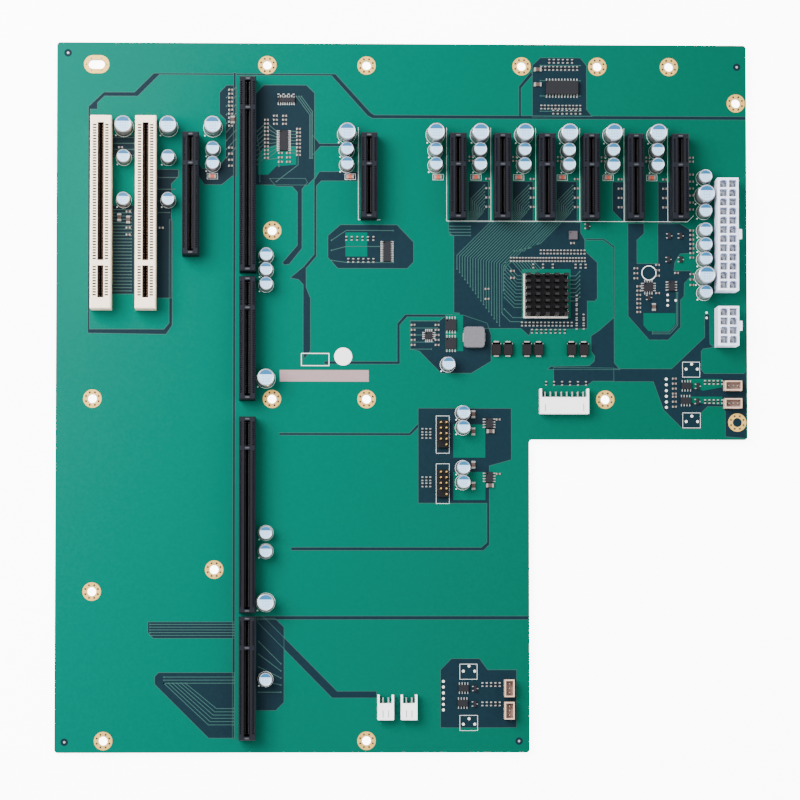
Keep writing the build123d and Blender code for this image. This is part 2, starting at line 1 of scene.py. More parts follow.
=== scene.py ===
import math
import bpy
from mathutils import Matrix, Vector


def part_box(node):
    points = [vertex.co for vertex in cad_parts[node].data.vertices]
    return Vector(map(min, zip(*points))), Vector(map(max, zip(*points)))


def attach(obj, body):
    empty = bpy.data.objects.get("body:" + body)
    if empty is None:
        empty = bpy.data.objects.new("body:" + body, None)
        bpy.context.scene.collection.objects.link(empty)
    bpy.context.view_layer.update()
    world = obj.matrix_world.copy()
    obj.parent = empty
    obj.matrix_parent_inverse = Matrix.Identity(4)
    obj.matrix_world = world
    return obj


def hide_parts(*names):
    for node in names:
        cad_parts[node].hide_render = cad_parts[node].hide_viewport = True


bl_info = {
    "name": "Passive backplane dress",
    "version": (1, 0, 0),
    "blender": (4, 5, 0),
    "location": "View3D > Sidebar > Backplane",
    "description": "Dresses the solid model of a passive backplane with its finishes and small parts",
    "category": "Object",
}

import bmesh
import bpy
from mathutils import Matrix, Vector

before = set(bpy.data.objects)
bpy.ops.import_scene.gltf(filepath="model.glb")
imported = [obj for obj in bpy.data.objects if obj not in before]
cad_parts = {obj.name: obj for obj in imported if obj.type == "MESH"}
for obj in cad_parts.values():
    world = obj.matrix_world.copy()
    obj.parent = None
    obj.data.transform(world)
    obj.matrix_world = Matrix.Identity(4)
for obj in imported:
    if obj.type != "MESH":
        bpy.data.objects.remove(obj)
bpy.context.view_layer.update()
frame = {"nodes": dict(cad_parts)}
MM = 0.001
BOARD_LOW, BOARD_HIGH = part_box("board")
FACE = BOARD_HIGH.z / MM
BACK = BOARD_LOW.z / MM


# Settings that a user would change


class BackplaneFinishes(bpy.types.PropertyGroup):
    """Colours of the board and its parts."""

    mask: bpy.props.FloatVectorProperty(
        name="Solder mask", description="Mask over copper", subtype="COLOR", size=3, min=0, max=1,
        default=(0.0, 0.075, 0.05))
    bare_mask: bpy.props.FloatVectorProperty(
        name="Mask on laminate", description="Mask where no copper lies under it", subtype="COLOR",
        size=3, min=0, max=1, default=(0.0022, 0.012, 0.019))
    trace: bpy.props.FloatVectorProperty(
        name="Covered trace", description="Mask over a thin trace", subtype="COLOR", size=3, min=0,
        max=1, default=(0.0055, 0.05, 0.041))
    ink: bpy.props.FloatVectorProperty(
        name="Ink", description="Printed outlines and numbers", subtype="COLOR", size=3, min=0,
        max=1, default=(0.78, 0.82, 0.8))
    black_housing: bpy.props.FloatVectorProperty(
        name="Black housings", description="Lane slots", subtype="COLOR", size=3, min=0, max=1,
        default=(0.0075, 0.0085, 0.0125))
    ivory_housing: bpy.props.FloatVectorProperty(
        name="Ivory housings", description="Bus slots", subtype="COLOR", size=3, min=0, max=1,
        default=(0.95, 0.78, 0.6))
    can_mark: bpy.props.FloatVectorProperty(
        name="Capacitor mark", description="Blue segment on each can", subtype="COLOR", size=3,
        min=0, max=1, default=(0.0, 0.095, 0.22))


class BackplaneSizes(bpy.types.PropertyGroup):
    """Sizes of the small parts that the solid model leaves out."""

    mask_edge: bpy.props.FloatProperty(
        name="Copper edge", description="Width of the pale line round a bare field", unit="LENGTH",
        default=0.00022, min=0.0001, max=0.001)
    ring_radius: bpy.props.FloatProperty(
        name="Ring radius", description="Outside of a screw hole's gold ring", unit="LENGTH",
        default=0.0042, min=0.003, max=0.006)
    tail_radius: bpy.props.FloatProperty(
        name="Solder cone", description="Radius of a solder joint under the board", unit="LENGTH",
        default=0.00062, min=0.0003, max=0.001)
    lead_width: bpy.props.FloatProperty(
        name="Chip lead", description="Width of a chip's lead", unit="LENGTH", default=0.0004,
        min=0.0002, max=0.0008)
    camera_place: bpy.props.FloatVectorProperty(
        name="Camera place", description="Where the camera stands", subtype="TRANSLATION", size=3,
        default=(-0.06, -0.1, 1.5))
    camera_turn: bpy.props.FloatVectorProperty(
        name="Camera turn", description="The camera's lean from straight down", subtype="EULER", size=3,
        default=(math.radians(2.505), math.radians(-1.76), 0.0))
    camera_lens: bpy.props.FloatProperty(
        name="Lens", description="Focal length in millimetres", default=147.7, min=20, max=300)


# Finishes


def grain(nodes, links, scale, detail, low, high):
    """Noise on object coordinates, mapped to a range."""
    place = nodes.new("ShaderNodeTexCoord")
    noise = nodes.new("ShaderNodeTexNoise")
    noise.inputs["Scale"].default_value = scale
    noise.inputs["Detail"].default_value = detail
    span = nodes.new("ShaderNodeMapRange")
    span.inputs["To Min"].default_value = low
    span.inputs["To Max"].default_value = high
    links.new(place.outputs["Object"], noise.inputs["Vector"])
    links.new(noise.outputs["Fac"], span.inputs["Value"])
    return noise.outputs["Fac"], span.outputs["Result"]


def finish(name, colour, roughness=0.5, metal=0.0, scale=900.0, change=0.12, relief=0.05, coat=0.0,
           glow=0.0, shine=0.3, light=0.0):
    """A moulded, plated or printed surface with fine grain in its colour, gloss and relief."""
    name = f"{name}_finish"
    known = bpy.data.materials.get(name)
    if known:
        return known
    material = bpy.data.materials.new(name)
    material.use_nodes = True
    nodes, links = material.node_tree.nodes, material.node_tree.links
    shader = nodes["Principled BSDF"]
    shader.inputs["Metallic"].default_value = metal
    shader.inputs["Specular IOR Level"].default_value = shine
    shader.inputs["Coat Weight"].default_value = coat
    shader.inputs["Coat Roughness"].default_value = 0.15
    shader.inputs["Emission Strength"].default_value = light
    if glow:
        shader.inputs["Subsurface Weight"].default_value = glow
        shader.inputs["Subsurface Radius"].default_value = (0.002, 0.002, 0.0018)
    fac, gloss = grain(nodes, links, scale, 3.0, roughness * 0.85, min(1.0, roughness * 1.2))
    links.new(gloss, shader.inputs["Roughness"])
    tint = nodes.new("ShaderNodeMix")
    tint.data_type = "RGBA"
    tint.inputs["A"].default_value = (*[part * (1 - change) for part in colour], 1)
    tint.inputs["B"].default_value = (*[min(1, part * (1 + change)) for part in colour], 1)
    links.new(fac, tint.inputs["Factor"])
    links.new(tint.outputs["Result"], shader.inputs["Base Color"])
    bump = nodes.new("ShaderNodeBump")
    bump.inputs["Strength"].default_value = relief
    bump.inputs["Distance"].default_value = 0.0001
    links.new(fac, bump.inputs["Height"])
    links.new(bump.outputs["Normal"], shader.inputs["Normal"])
    return material


def board_finish(settings):
    """Solder mask: a painted light ramp, lighter towards the left of the board and darker towards the right, and a
    fine weave under the gloss.
    """
    known = bpy.data.materials.get("solder_mask")
    if known:
        return known
    material = bpy.data.materials.new("solder_mask")
    material.use_nodes = True
    nodes, links = material.node_tree.nodes, material.node_tree.links
    shader = nodes["Principled BSDF"]
    shader.inputs["Specular IOR Level"].default_value = 0.25
    shader.inputs["Specular Tint"].default_value = (0.02, 0.6, 0.45, 1)
    place = nodes.new("ShaderNodeTexCoord")
    painted_light_ramp = nodes.new("ShaderNodeTexGradient")
    turn = nodes.new("ShaderNodeMapping")
    turn.inputs["Location"].default_value = (0.5, 0.0, 0.0)
    turn.inputs["Rotation"].default_value = (0, 0, math.radians(12))
    turn.inputs["Scale"].default_value = (2.4, 2.4, 2.4)
    links.new(place.outputs["Object"], turn.inputs["Vector"])
    links.new(turn.outputs["Vector"], painted_light_ramp.inputs["Vector"])
    fac, gloss = grain(nodes, links, 700.0, 4.0, 0.38, 0.5)
    links.new(gloss, shader.inputs["Roughness"])
    # Painted light: the mask colour is raised towards the left of the board and lowered towards the right, a key
    # light's fall-off painted into it.
    painted_light_tone = nodes.new("ShaderNodeMix")
    painted_light_tone.data_type = "RGBA"
    mask = settings.mask
    painted_light_tone.inputs["A"].default_value = (mask[0], mask[1] * 1.22, mask[2] * 1.36, 1)
    painted_light_tone.inputs["B"].default_value = (mask[0], mask[1] * 0.76, mask[2] * 0.66, 1)
    links.new(painted_light_ramp.outputs["Color"], painted_light_tone.inputs["Factor"])
    weave = nodes.new("ShaderNodeMix")
    weave.data_type = "RGBA"
    weave.blend_type = "MULTIPLY"
    weave.inputs["Factor"].default_value = 0.18
    links.new(painted_light_tone.outputs["Result"], weave.inputs["A"])
    links.new(fac, weave.inputs["B"])
    links.new(weave.outputs["Result"], shader.inputs["Base Color"])
    bump = nodes.new("ShaderNodeBump")
    bump.inputs["Strength"].default_value = 0.04
    bump.inputs["Distance"].default_value = 0.0001
    links.new(fac, bump.inputs["Height"])
    links.new(bump.outputs["Normal"], shader.inputs["Normal"])
    return material


def colours():
    return bpy.context.scene.backplane_finishes


def sizes():
    return bpy.context.scene.backplane_sizes


def gold():
    return finish("gold_plate", (0.56, 0.34, 0.08), 0.36, 0.3, 400, 0.12)


def tin():
    return finish("bright_tin", (0.31, 0.31, 0.3), 0.35, 0.4, 600, 0.15)


def solder():
    return finish("solder_joint", (0.36, 0.36, 0.36), 0.3, 0.6, 800, 0.15)


def ink():
    return finish("white_ink", tuple(colours().ink), 0.6, 0, 900, 0.05)


def trace_finish():
    return finish("covered_trace", tuple(colours().trace), 0.42, 0, 500, 0.12)


def bare_finish():
    return finish("bare_mask", tuple(colours().bare_mask), 0.42, 0, 500, 0.15, shine=0.06)


def moulding():
    return finish("chip_moulding", (0.007, 0.0072, 0.01), 0.55, 0, 1500, 0.25, 0.15, shine=0.15)


def black_plastic():
    return finish("black_housing", tuple(colours().black_housing), 0.5, 0, 1200, 0.3, 0.12, shine=0.06)


def white_plastic():
    return finish("white_housing", (0.93, 0.93, 0.95), 0.45, 0, 800, 0.03, 0.06, glow=0.08)


# Shape helpers. Lengths are in millimetres, and a piece is scaled to metres once, when it is kept.


def keep(name, bm, materials, slot, *nodes):
    """Turns a bmesh into a piece that rides on the board and may stand for some solids."""
    bmesh.ops.transform(bm, matrix=Matrix.Scale(MM, 4), verts=bm.verts)
    bmesh.ops.recalc_face_normals(bm, faces=bm.faces)
    mesh = bpy.data.meshes.new(name)
    bm.to_mesh(mesh)
    bm.free()
    for material in materials:
        mesh.materials.append(material)
    piece = bpy.data.objects.new(name, mesh)
    bpy.context.scene.collection.objects.link(piece)
    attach(piece, "root")
    if nodes:
        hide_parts(*nodes)
    return piece


def centre_of(node):
    """A node's low and high corners in millimetres."""
    low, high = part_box(node)
    return low / MM, high / MM


def block(bm, low, high, material=0, bevel=0.0, turn=0.0):
    """A box between two corners, turned about its own middle, with eased edges."""
    low, high = Vector(low), Vector(high)
    size, middle = high - low, (high + low) / 2
    place = Matrix.Translation(middle) @ Matrix.Rotation(turn, 4, "Z") @ Matrix.Diagonal((*size, 1))
    verts = bmesh.ops.create_cube(bm, size=1, matrix=place)["verts"]
    faces = {face for vert in verts for face in vert.link_faces}
    for face in faces:
        face.material_index = material
    if bevel:
        edges = {edge for vert in verts for edge in vert.link_edges}
        bmesh.ops.bevel(bm, geom=list(edges), offset=bevel, segments=1, profile=0.5,
                        affect="EDGES", material=-1)


def disc(bm, x, y, low, high, radius, steps=12, material=0, top_radius=None):
    """A short round post."""
    upper = radius if top_radius is None else top_radius
    place = Matrix.Translation((x, y, (low + high) / 2))
    made = bmesh.ops.create_cone(bm, cap_ends=True, segments=steps, radius1=radius, radius2=upper,
                                 depth=high - low, matrix=place)
    for face in {face for vert in made["verts"] for face in vert.link_faces}:
        face.material_index = material


def raise_faces(bm, faces, height):
    """Gives flat faces a thickness."""
    made = bmesh.ops.extrude_face_region(bm, geom=faces)["geom"]
    bmesh.ops.translate(bm, vec=(0, 0, height),
                        verts=[item for item in made if isinstance(item, bmesh.types.BMVert)])
    return [item for item in made if isinstance(item, bmesh.types.BMFace)]


def plate(bm, points, low, high, material=0):
    """A flat plate with the given outline."""
    face = bm.faces.new([bm.verts.new((x, y, low)) for x, y in points])
    face.material_index = material
    raise_faces(bm, [face], high - low)


def mitres(points, closed):
    """For each point of a path, the sideways step of one millimetre that keeps its corners true."""
    steps = []
    last = len(points) - 1
    for index, here in enumerate(points):
        before = points[index - 1] if index or closed else None
        after = points[(index + 1) % len(points)] if index < last or closed else None
        ways = [Vector(here) - Vector(before)] if before else []
        ways += [Vector(after) - Vector(here)] if after else []
        sides = [Vector((-way.y, way.x)).normalized() for way in ways]
        middle = sum(sides, Vector((0, 0))).normalized()
        steps.append(middle / max(0.4, middle.dot(sides[0])))
    return steps


def beside(points, distance, closed=False):
    """The path moved sideways, to its left, by a distance."""
    moves = mitres([Vector(point) for point in points], closed)
    return [tuple(Vector(point) + move * distance) for point, move in zip(points, moves)]


def ribbon(bm, points, width, low, high, material=0, closed=False):
    """A flat strip of even width along a path."""
    left = beside(points, width / 2, closed)
    right = beside(points, -width / 2, closed)
    first = [bm.verts.new((x, y, low)) for x, y in left]
    ends = list(zip(first, first[1:])) + ([(first[-1], first[0])] if closed else [])
    edges = [bm.edges.new(pair) for pair in ends]
    made = bmesh.ops.extrude_edge_only(bm, edges=edges)["geom"]
    faces = [item for item in made if isinstance(item, bmesh.types.BMFace)]
    fresh = {item for item in made if isinstance(item, bmesh.types.BMVert)}
    for vert, (x, y) in zip(first, right):
        for edge in vert.link_edges:
            other = edge.other_vert(vert)
            if other in fresh:
                other.co = (x, y, low)
    for face in faces:
        face.material_index = material
    raise_faces(bm, faces, high - low)


def relief(bm, xs, ys, depth_at, low, high, chamfer=0.0, material=0, inside=0):
    """A block whose top is cut into straight-sided pockets on a grid of lines."""
    columns, rows = len(xs) - 1, len(ys) - 1
    verts = bmesh.ops.create_grid(bm, x_segments=columns, y_segments=rows, size=0.5)["verts"]
    for vert in verts:
        column = round((vert.co.x + 0.5) * columns)
        row = round((vert.co.y + 0.5) * rows)
        edge = column in (0, columns) or row in (0, rows)
        vert.co = (xs[column], ys[row], high - (chamfer if edge else 0))
    faces = list({face for vert in verts for face in vert.link_faces})
    depths = {face: depth_at(*face.calc_center_median().xy) for face in faces}
    rim = [edge for edge in {e for v in verts for e in v.link_edges} if edge.is_boundary]
    for face in faces:
        face.material_index = material
    level = 0.0
    for depth in sorted({depth for depth in depths.values() if depth > 0}):
        sunk = [(face.calc_center_median().xy, depths[face]) for face in depths if depths[face] >= depth]
        region = [face for face in depths if depths[face] >= depth]
        made = bmesh.ops.extrude_face_region(bm, geom=region)["geom"]
        bmesh.ops.delete(bm, geom=[face for face in region if face.is_valid], context="FACES")
        bmesh.ops.translate(bm, vec=(0, 0, level - depth),
                            verts=[item for item in made if isinstance(item, bmesh.types.BMVert)])
        depths = {}
        for item in made:
            if isinstance(item, bmesh.types.BMFace):
                place = item.calc_center_median().xy
                depths[item] = min(sunk, key=lambda pair: (pair[0] - place).length)[1] \
                    if len(sunk) < 40 else depth_at(*place)
                item.material_index = inside
        level = depth
    made = bmesh.ops.extrude_edge_only(bm, edges=rim)["geom"]
    skirt = [item for item in made if isinstance(item, bmesh.types.BMVert)]
    for vert in skirt:
        vert.co.z = low
    base = [item for item in made if isinstance(item, bmesh.types.BMEdge)]
    bmesh.ops.contextual_create(bm, geom=base)
    return bm


def stamp(bm, template, places):
    """Copies a small mesh to each place, given as x, y and a turn in degrees."""
    for x, y, turn in places:
        start = len(bm.verts)
        bm.from_mesh(template)
        bm.verts.ensure_lookup_table()
        matrix = Matrix.Translation((x, y, 0)) @ Matrix.Rotation(math.radians(turn), 4, "Z")
        bmesh.ops.transform(bm, matrix=matrix, verts=bm.verts[start:])


def template_of(build):
    """A mesh made once by a function that fills a bmesh."""
    bm = bmesh.new()
    build(bm)
    mesh = bpy.data.meshes.new("template")
    bm.to_mesh(mesh)
    bm.free()
    return mesh


def turned(bm, profile, steps, material=0):
    """A round shape spun from a profile of radius and height pairs that ends on the axis."""
    verts = [bm.verts.new((radius, 0, height)) for radius, height in profile]
    edges = [bm.edges.new(pair) for pair in zip(verts, verts[1:])]
    bmesh.ops.spin(bm, geom=verts + edges, cent=(0, 0, 0), axis=(0, 0, 1), angle=math.tau,
                   steps=steps, use_merge=True)
    bmesh.ops.remove_doubles(bm, verts=bm.verts, dist=0.0005)
    for face in bm.faces:
        face.material_index = material


# The board's pattern, in millimetres from the board's middle

BARE_FIELDS = [
    [(-143.8, 28.8), (-143.8, 132.7), (-136.8, 139.4), (-122.8, 139.4), (-114.0, 148.2), (-33.6, 148.2), (-30.8, 148.2), (-14.8, 130.6),
     (-13.0, 129.4), (53.5, 129.4), (53.5, 143.0), (59.3, 150.0), (59.7, 148.1), (54.5, 142.1), (54.5, 129.4), (158.0, 129.4),
     (158.0, 127.9), (-13.9, 127.9), (-16.2, 129.2), (-32.6, 147.5), (-111.4, 147.6), (-121.3, 137.6), (-136.5, 137.6), (-139.7, 134.4),
     (-139.7, 131.5), (-143.0, 131.5), (-143.0, 30.6), (-109.0, 30.6), (-106.7, 33.4), (-106.7, 80.8), (-105.3, 80.8), (-105.3, 32.4), (-108.1, 28.3)],
    [(59.7, 128.8), (59.7, 152.7), (63.4, 156.2), (81.7, 156.2), (84.6, 152.7), (84.6, 132.4), (87.2, 129.2)],
    [(-76.1, 142.8), (-80.7, 142.8), (-83.9, 139.4), (-83.9, 129.7), (-81.1, 126.9), (-81.1, 109.4), (-84.8, 104.3), (-91.6, 104.3), (-93.5, 106.6),
     (-93.5, 101.1), (-90.7, 97.0), (-82.9, 97.0), (-77.9, 101.1), (-76.1, 101.1)],
    [(-112.4, 103.9), (-102.6, 103.9), (-102.6, 100.6), (-105.8, 97.4), (-105.8, 44.9), (-112.4, 44.9)],
    [(-132.8, 119.5), (-122.7, 119.5), (-122.7, 109.4), (-132.8, 109.4)],
    [(-132.8, 87.3), (-122.7, 87.3), (-122.7, 46.7), (-132.8, 46.7)],
    [(-67.9, 97.0), (-67.9, 138.4), (-63.7, 143.0), (-44.1, 143.0), (-40.4, 139.4), (-40.4, 100.2), (-43.6, 97.0)],
    [(-28.5, 78.8), (-2.6, 78.8), (5.0, 70.9), (5.0, 61.8), (2.1, 58.8), (-29.7, 58.8), (-34.2, 63.8),
     (-34.2, 73.8)],
    [(21.1, 80.2), (81.7, 80.2), (81.7, 75.6), (83.6, 72.2), (83.6, 67.2), (89.3, 61.8), (89.3, 45.3),
     (88.1, 44.1), (84.7, 44.1), (84.7, 31.4), (76.3, 31.2), (58.8, 30.9), (58.0, 28.0), (54.2, 31.4),
     (26.4, 31.4), (26.0, 38.4), (23.5, 38.6), (23.5, 73.9), (21.3, 75.2)],
    [(30.2, 99.0), (39.4, 99.0), (39.4, 80.2), (30.2, 80.2)],
    [(50.4, 99.0), (59.9, 99.0), (59.9, 80.2), (50.4, 80.2)],
    [(70.6, 99.0), (80.1, 99.0), (80.1, 80.2), (70.6, 80.2)],
    [(96.5, 99.0), (102.2, 99.0), (102.2, 80.4), (100.7, 81.4), (96.5, 85.6)],
    [(117.5, 99.0), (123.6, 99.0), (123.6, 79.8), (117.5, 79.8)],
    [(84.0, 72.7), (92.5, 72.7), (97.2, 69.3), (97.2, 36.4), (96.7, 36.4), (96.7, 68.8), (92.2, 72.1),
     (84.0, 72.1)],
    [(97.0, 36.6), (97.0, 15.7), (99.6, 12.6), (66.4, 12.6), (67.9, 14.0), (85.5, 14.3), (87.9, 16.5),
     (88.1, 18.8), (86.4, 21.1), (86.4, 28.0), (90.0, 30.4)],
    [(103.5, 79.8), (110.9, 79.8), (110.9, 75.2), (107.6, 72.2), (107.6, 61.4), (117.3, 61.4), (117.3, 79.8),
     (127.6, 79.8), (133.3, 76.2), (133.3, 66.4), (127.4, 65.9), (125.0, 61.8), (124.6, 58.1), (132.4, 58.1),
     (132.4, 55.6), (129.4, 52.4), (129.2, 46.3), (127.6, 44.7), (127.6, 32.2), (121.9, 26.3), (113.1, 26.3),
     (103.5, 37.2)],
    [(138.7, 38.0), (141.0, 38.0), (141.0, 24.5), (142.9, 23.0), (137.9, 22.2), (137.0, 21.1), (137.0, 12.6),
     (138.5, 10.9), (156.6, 10.9), (157.7, 12.2), (157.7, -18.9), (148.0, -18.1), (148.0, -6.6), (146.7, -4.3),
     (139.8, -4.3), (137.1, -7.0), (137.1, -14.6), (128.4, -14.6), (119.6, -5.8), (115.0, 7.1), (96.8, 7.1),
     (96.8, 13.0), (123.4, 13.0), (138.7, 27.6)],
    [(69.1, 13.5), (96.8, 13.3), (96.8, 7.3), (87.2, 7.3), (84.4, 5.3), (69.3, 5.3)],
    [(-61.0, 100.0), (-58.0, 96.3), (-50.5, 96.3), (-48.2, 93.7), (-48.2, 69.3), (-55.1, 61.2), (-54.1, 60.3), (-51.9, 60.6),
     (-46.1, 67.9), (-46.1, 95.1), (-43.6, 98.3), (-44.5, 100.0)],
    [(-40.5, 65.2), (-40.5, 99.3), (-38.1, 103.2), (-20.3, 103.2), (-20.3, 99.0), (-37.2, 99.0), (-39.5, 96.7), (-39.5, 64.2),
     (-44.2, 58.7), (-44.2, 50.0), (-42.2, 44.9), (-42.2, 20.9), (-45.0, 17.2), (-45.5, 20.9), (-45.5, 51.3), (-47.7, 53.6),
     (-51.4, 54.3), (-45.2, 59.6)],
    [(-41.3, 120.0), (-38.1, 116.1), (-20.3, 116.1), (-20.3, 114.9), (-37.7, 114.9), (-41.3, 110.8)],
    [(-35.8, 16.1), (-2.5, 16.1), (-2.5, 33.5), (1.2, 37.7), (23.1, 37.7), (23.1, 36.6), (2.1, 36.6), (-1.3, 32.9),
     (-1.3, 14.9), (-35.8, 14.9)],
    [(3.5, 34.7), (16.7, 34.7), (20.4, 37.5), (27.7, 37.5), (38.7, 33.8), (40.5, 28.3), (40.5, 16.3), (31.4, 10.8), (17.6, 10.8),
     (7.6, 20.9), (3.5, 21.8)],
    [(7.1, -5.3), (49.7, -5.3), (49.7, -28.8), (39.6, -31.6), (39.6, -67.6), (36.9, -70.3), (-50.9, -70.3), (-50.9, -68.9), (35.9, -68.9),
     (38.5, -66.6), (38.5, -48.7), (7.1, -48.7)],
    [(-56.4, -16.7), (3.0, -16.7), (7.1, -12.3), (7.1, -14.1), (3.5, -17.7), (-56.4, -17.7)],
    [(-66.9, -100.2), (57.4, -100.2), (57.4, -101.8), (-66.9, -101.8)],
    [(-66.1, -100.3), (-63.7, -100.3), (-29.9, -134.4), (-11.9, -134.4), (-11.9, -137.4), (-32.2, -137.4), (-66.1, -103.0)],
    [(-66.9, -101.2), (-58.3, -101.2), (-54.1, -105.3), (-54.1, -139.4), (-57.8, -143.1), (-66.9, -143.1)],
    [(-116.0, -102.9), (-76.5, -102.9), (-76.5, -110.3), (-113.6, -110.3), (-116.0, -107.6)],
    [(-111.1, -125.9), (-76.7, -125.9), (-76.7, -155.6), (-88.3, -155.6), (-112.8, -131.2), (-112.8, -127.6)],
    [(17.2, -151.0), (17.2, -124.7), (22.2, -119.6), (35.0, -119.6), (38.7, -124.7), (51.9, -124.7), (51.9, -151.0)],
    [(-77.5, 148.6), (-76.5, 148.6), (-76.5, -156.0), (-77.5, -156.0)],
]
POURS = [
    [(110.5, 38.6), (125.3, 38.6), (125.3, 33.7), (122.3, 30.3), (112.8, 30.3), (110.5, 33.0)],
    [(54.6, 36.1), (54.6, 58.7), (77.1, 58.7), (77.1, 36.1)],
    [(-64.3, 113.6), (-57.8, 115.5), (-48.7, 114.8), (-48.7, 106.3), (-57.8, 105.6), (-61.6, 101.7), (-66.2, 101.7), (-66.2, 109.4)],
    [(-26.2, 75.3), (-16.2, 75.3), (-16.2, 64.2), (-26.2, 64.2)],
    [(19.5, 37.5), (27.7, 37.5), (27.7, 20.9), (19.5, 20.9)],
    [(23.1, -12.7), (37.8, -12.7), (37.8, -27.9), (23.1, -27.9)],
    [(23.1, -34.4), (37.8, -34.4), (37.8, -47.3), (23.1, -47.3)],
    [(130.3, 8.4), (146.7, 8.4), (146.7, 4.6), (137.9, 3.0), (130.3, 4.6)],
    [(130.3, 0.3), (146.7, 0.3), (146.7, -3.5), (137.9, -2.7), (130.3, -2.7)],
]
# The first and the last of a set of evenly spaced traces, and how many there are
TRACE_FANS = [
    ([(24.9, 58.7), (24.9, 64.9), (40.9, 80.8)], [(44.4, 32.6), (44.4, 61.2), (64.1, 80.8)], 17),
    ([(45.5, 38.7), (45.5, 60.6), (65.2, 80.8)], [(47.0, 58.7), (47.0, 59.3), (68.3, 80.8)], 3),
    ([(47.0, 61.8), (52.7, 55.6), (54.8, 55.6)], [(46.6, 45.7), (51.2, 41.0), (54.8, 41.0)], 10),
    ([(45.8, 38.0), (49.3, 34.5), (54.6, 34.5)], [(46.6, 40.3), (50.4, 36.4), (54.6, 36.4)], 2),
    ([(37.6, 97.3), (31.4, 91.0), (31.4, 85.6), (26.8, 80.8)], [(37.6, 86.4), (36.9, 85.6), (36.9, 84.7), (33.2, 80.8)], 8),
    ([(58.0, 97.3), (51.2, 90.4), (51.2, 85.6), (46.6, 80.8)], [(58.0, 86.4), (56.9, 85.2), (56.9, 84.7), (53.2, 80.8)], 8),
    ([(78.2, 97.3), (71.4, 90.4), (71.4, 85.6), (66.8, 80.8)], [(78.2, 86.4), (77.1, 85.2), (77.1, 84.7), (73.4, 80.8)], 8),
    ([(69.5, 80.8), (55.8, 67.0), (51.2, 67.0)], [(73.4, 80.8), (63.4, 70.7), (58.8, 68.7)], 4),
    ([(50.4, 62.1), (55.8, 55.6)], [(60.3, 62.1), (63.4, 58.7)], 8),
    ([(21.8, 78.3), (31.0, 78.3)], [(21.8, 74.1), (31.0, 74.1)], 4),
    ([(77.1, 55.6), (79.4, 55.6), (81.3, 57.6)], [(77.1, 44.1), (79.4, 44.1), (81.3, 46.0)], 7),
    ([(-32.6, 71.6), (-25.8, 76.2), (-4.3, 76.2)], [(-32.6, 62.4), (-25.8, 61.5), (-4.3, 61.5)], 3),
    ([(-115.0, -104.0), (-77.0, -104.0)], [(-115.0, -109.0), (-77.0, -109.0)], 5),
    ([(-108.6, -127.9), (-77.0, -127.9)], [(-108.6, -130.7), (-77.0, -130.7)], 3),
    ([(-108.6, -130.7), (-88.4, -149.6), (-77.0, -149.6)], [(-98.9, -130.7), (-84.8, -142.2), (-77.0, -142.2)], 6),
    ([(-66.6, 121.7), (-63.3, 124.8)], [(-66.6, 106.3), (-63.3, 109.4)], 8),
    ([(-61.5, 124.8), (-57.8, 121.7)], [(-61.5, 109.4), (-57.8, 112.5)], 8),
    ([(-51.3, 121.7), (-48.7, 121.7)], [(-51.3, 111.7), (-48.7, 111.7)], 8),
    ([(-48.7, 137.8), (-42.6, 129.4), (-42.6, 109.4)], [(-46.4, 137.8), (-41.4, 130.9), (-41.4, 109.4)], 3),
    ([(-66.6, 118.6), (-65.4, 112.5), (-65.4, 98.6)], [(-57.8, 98.6), (-47.9, 106.3), (-47.9, 112.5)], 3),
    ([(-65.6, -111.8), (-55.5, -121.9)], [(-65.6, -134.8), (-55.5, -134.8)], 5),
    ([(3.5, 34.7), (16.7, 34.7)], [(3.5, 21.8), (13.1, 21.8)], 5),
    ([(63.4, 152.7), (81.7, 152.7)], [(63.4, 131.5), (81.7, 131.5)], 4),
    ([(114.7, 29.1), (122.7, 29.1), (126.3, 33.0), (126.3, 48.0)], [(114.7, 29.9), (122.3, 29.9), (125.7, 33.4), (125.7, 48.0)], 2),
    ([(-80.7, 137.1), (-76.5, 141.7)], [(-80.7, 109.4), (-76.5, 114.0)], 8),
    ([(-133.2, 118.6), (-123.2, 118.6)], [(-133.2, 110.3), (-123.2, 110.3)], 4),
    ([(-132.3, 85.4), (-124.1, 85.4)], [(-132.3, 48.1), (-124.1, 48.1)], 26),
    ([(-112.2, 100.2), (-103.1, 100.2)], [(-112.2, 84.1), (-106.7, 84.1)], 4),
]
SLOT_FRAMES = [
    ((15.3, -8.8), (21.3, -25.9)), ((15.3, -30.7), (21.3, -48.9)),
]
PRINTED_LINES = [
    [(-20.3, 123.7), (-20.3, 81.1), (-10.2, 81.1)], [(20.2, 123.7), (20.2, 80.7)], [(40.5, 123.7), (40.5, 80.7)],
    [(61.1, 123.7), (61.1, 80.7)], [(81.4, 123.7), (81.4, 80.7)], [(101.8, 123.7), (101.8, 80.7)], [(121.9, 123.7), (121.9, 80.7)],
    [(20.2, 80.7), (131.0, 80.7), (133.8, 83.6)],
]


def fan_paths(first, last, count):
    """Evenly spaced paths between a first one and a last one."""
    paths = []
    for index in range(count):
        share = index / (count - 1)
        paths.append([tuple(Vector(a).lerp(Vector(b), share)) for a, b in zip(first, last)])
    return paths


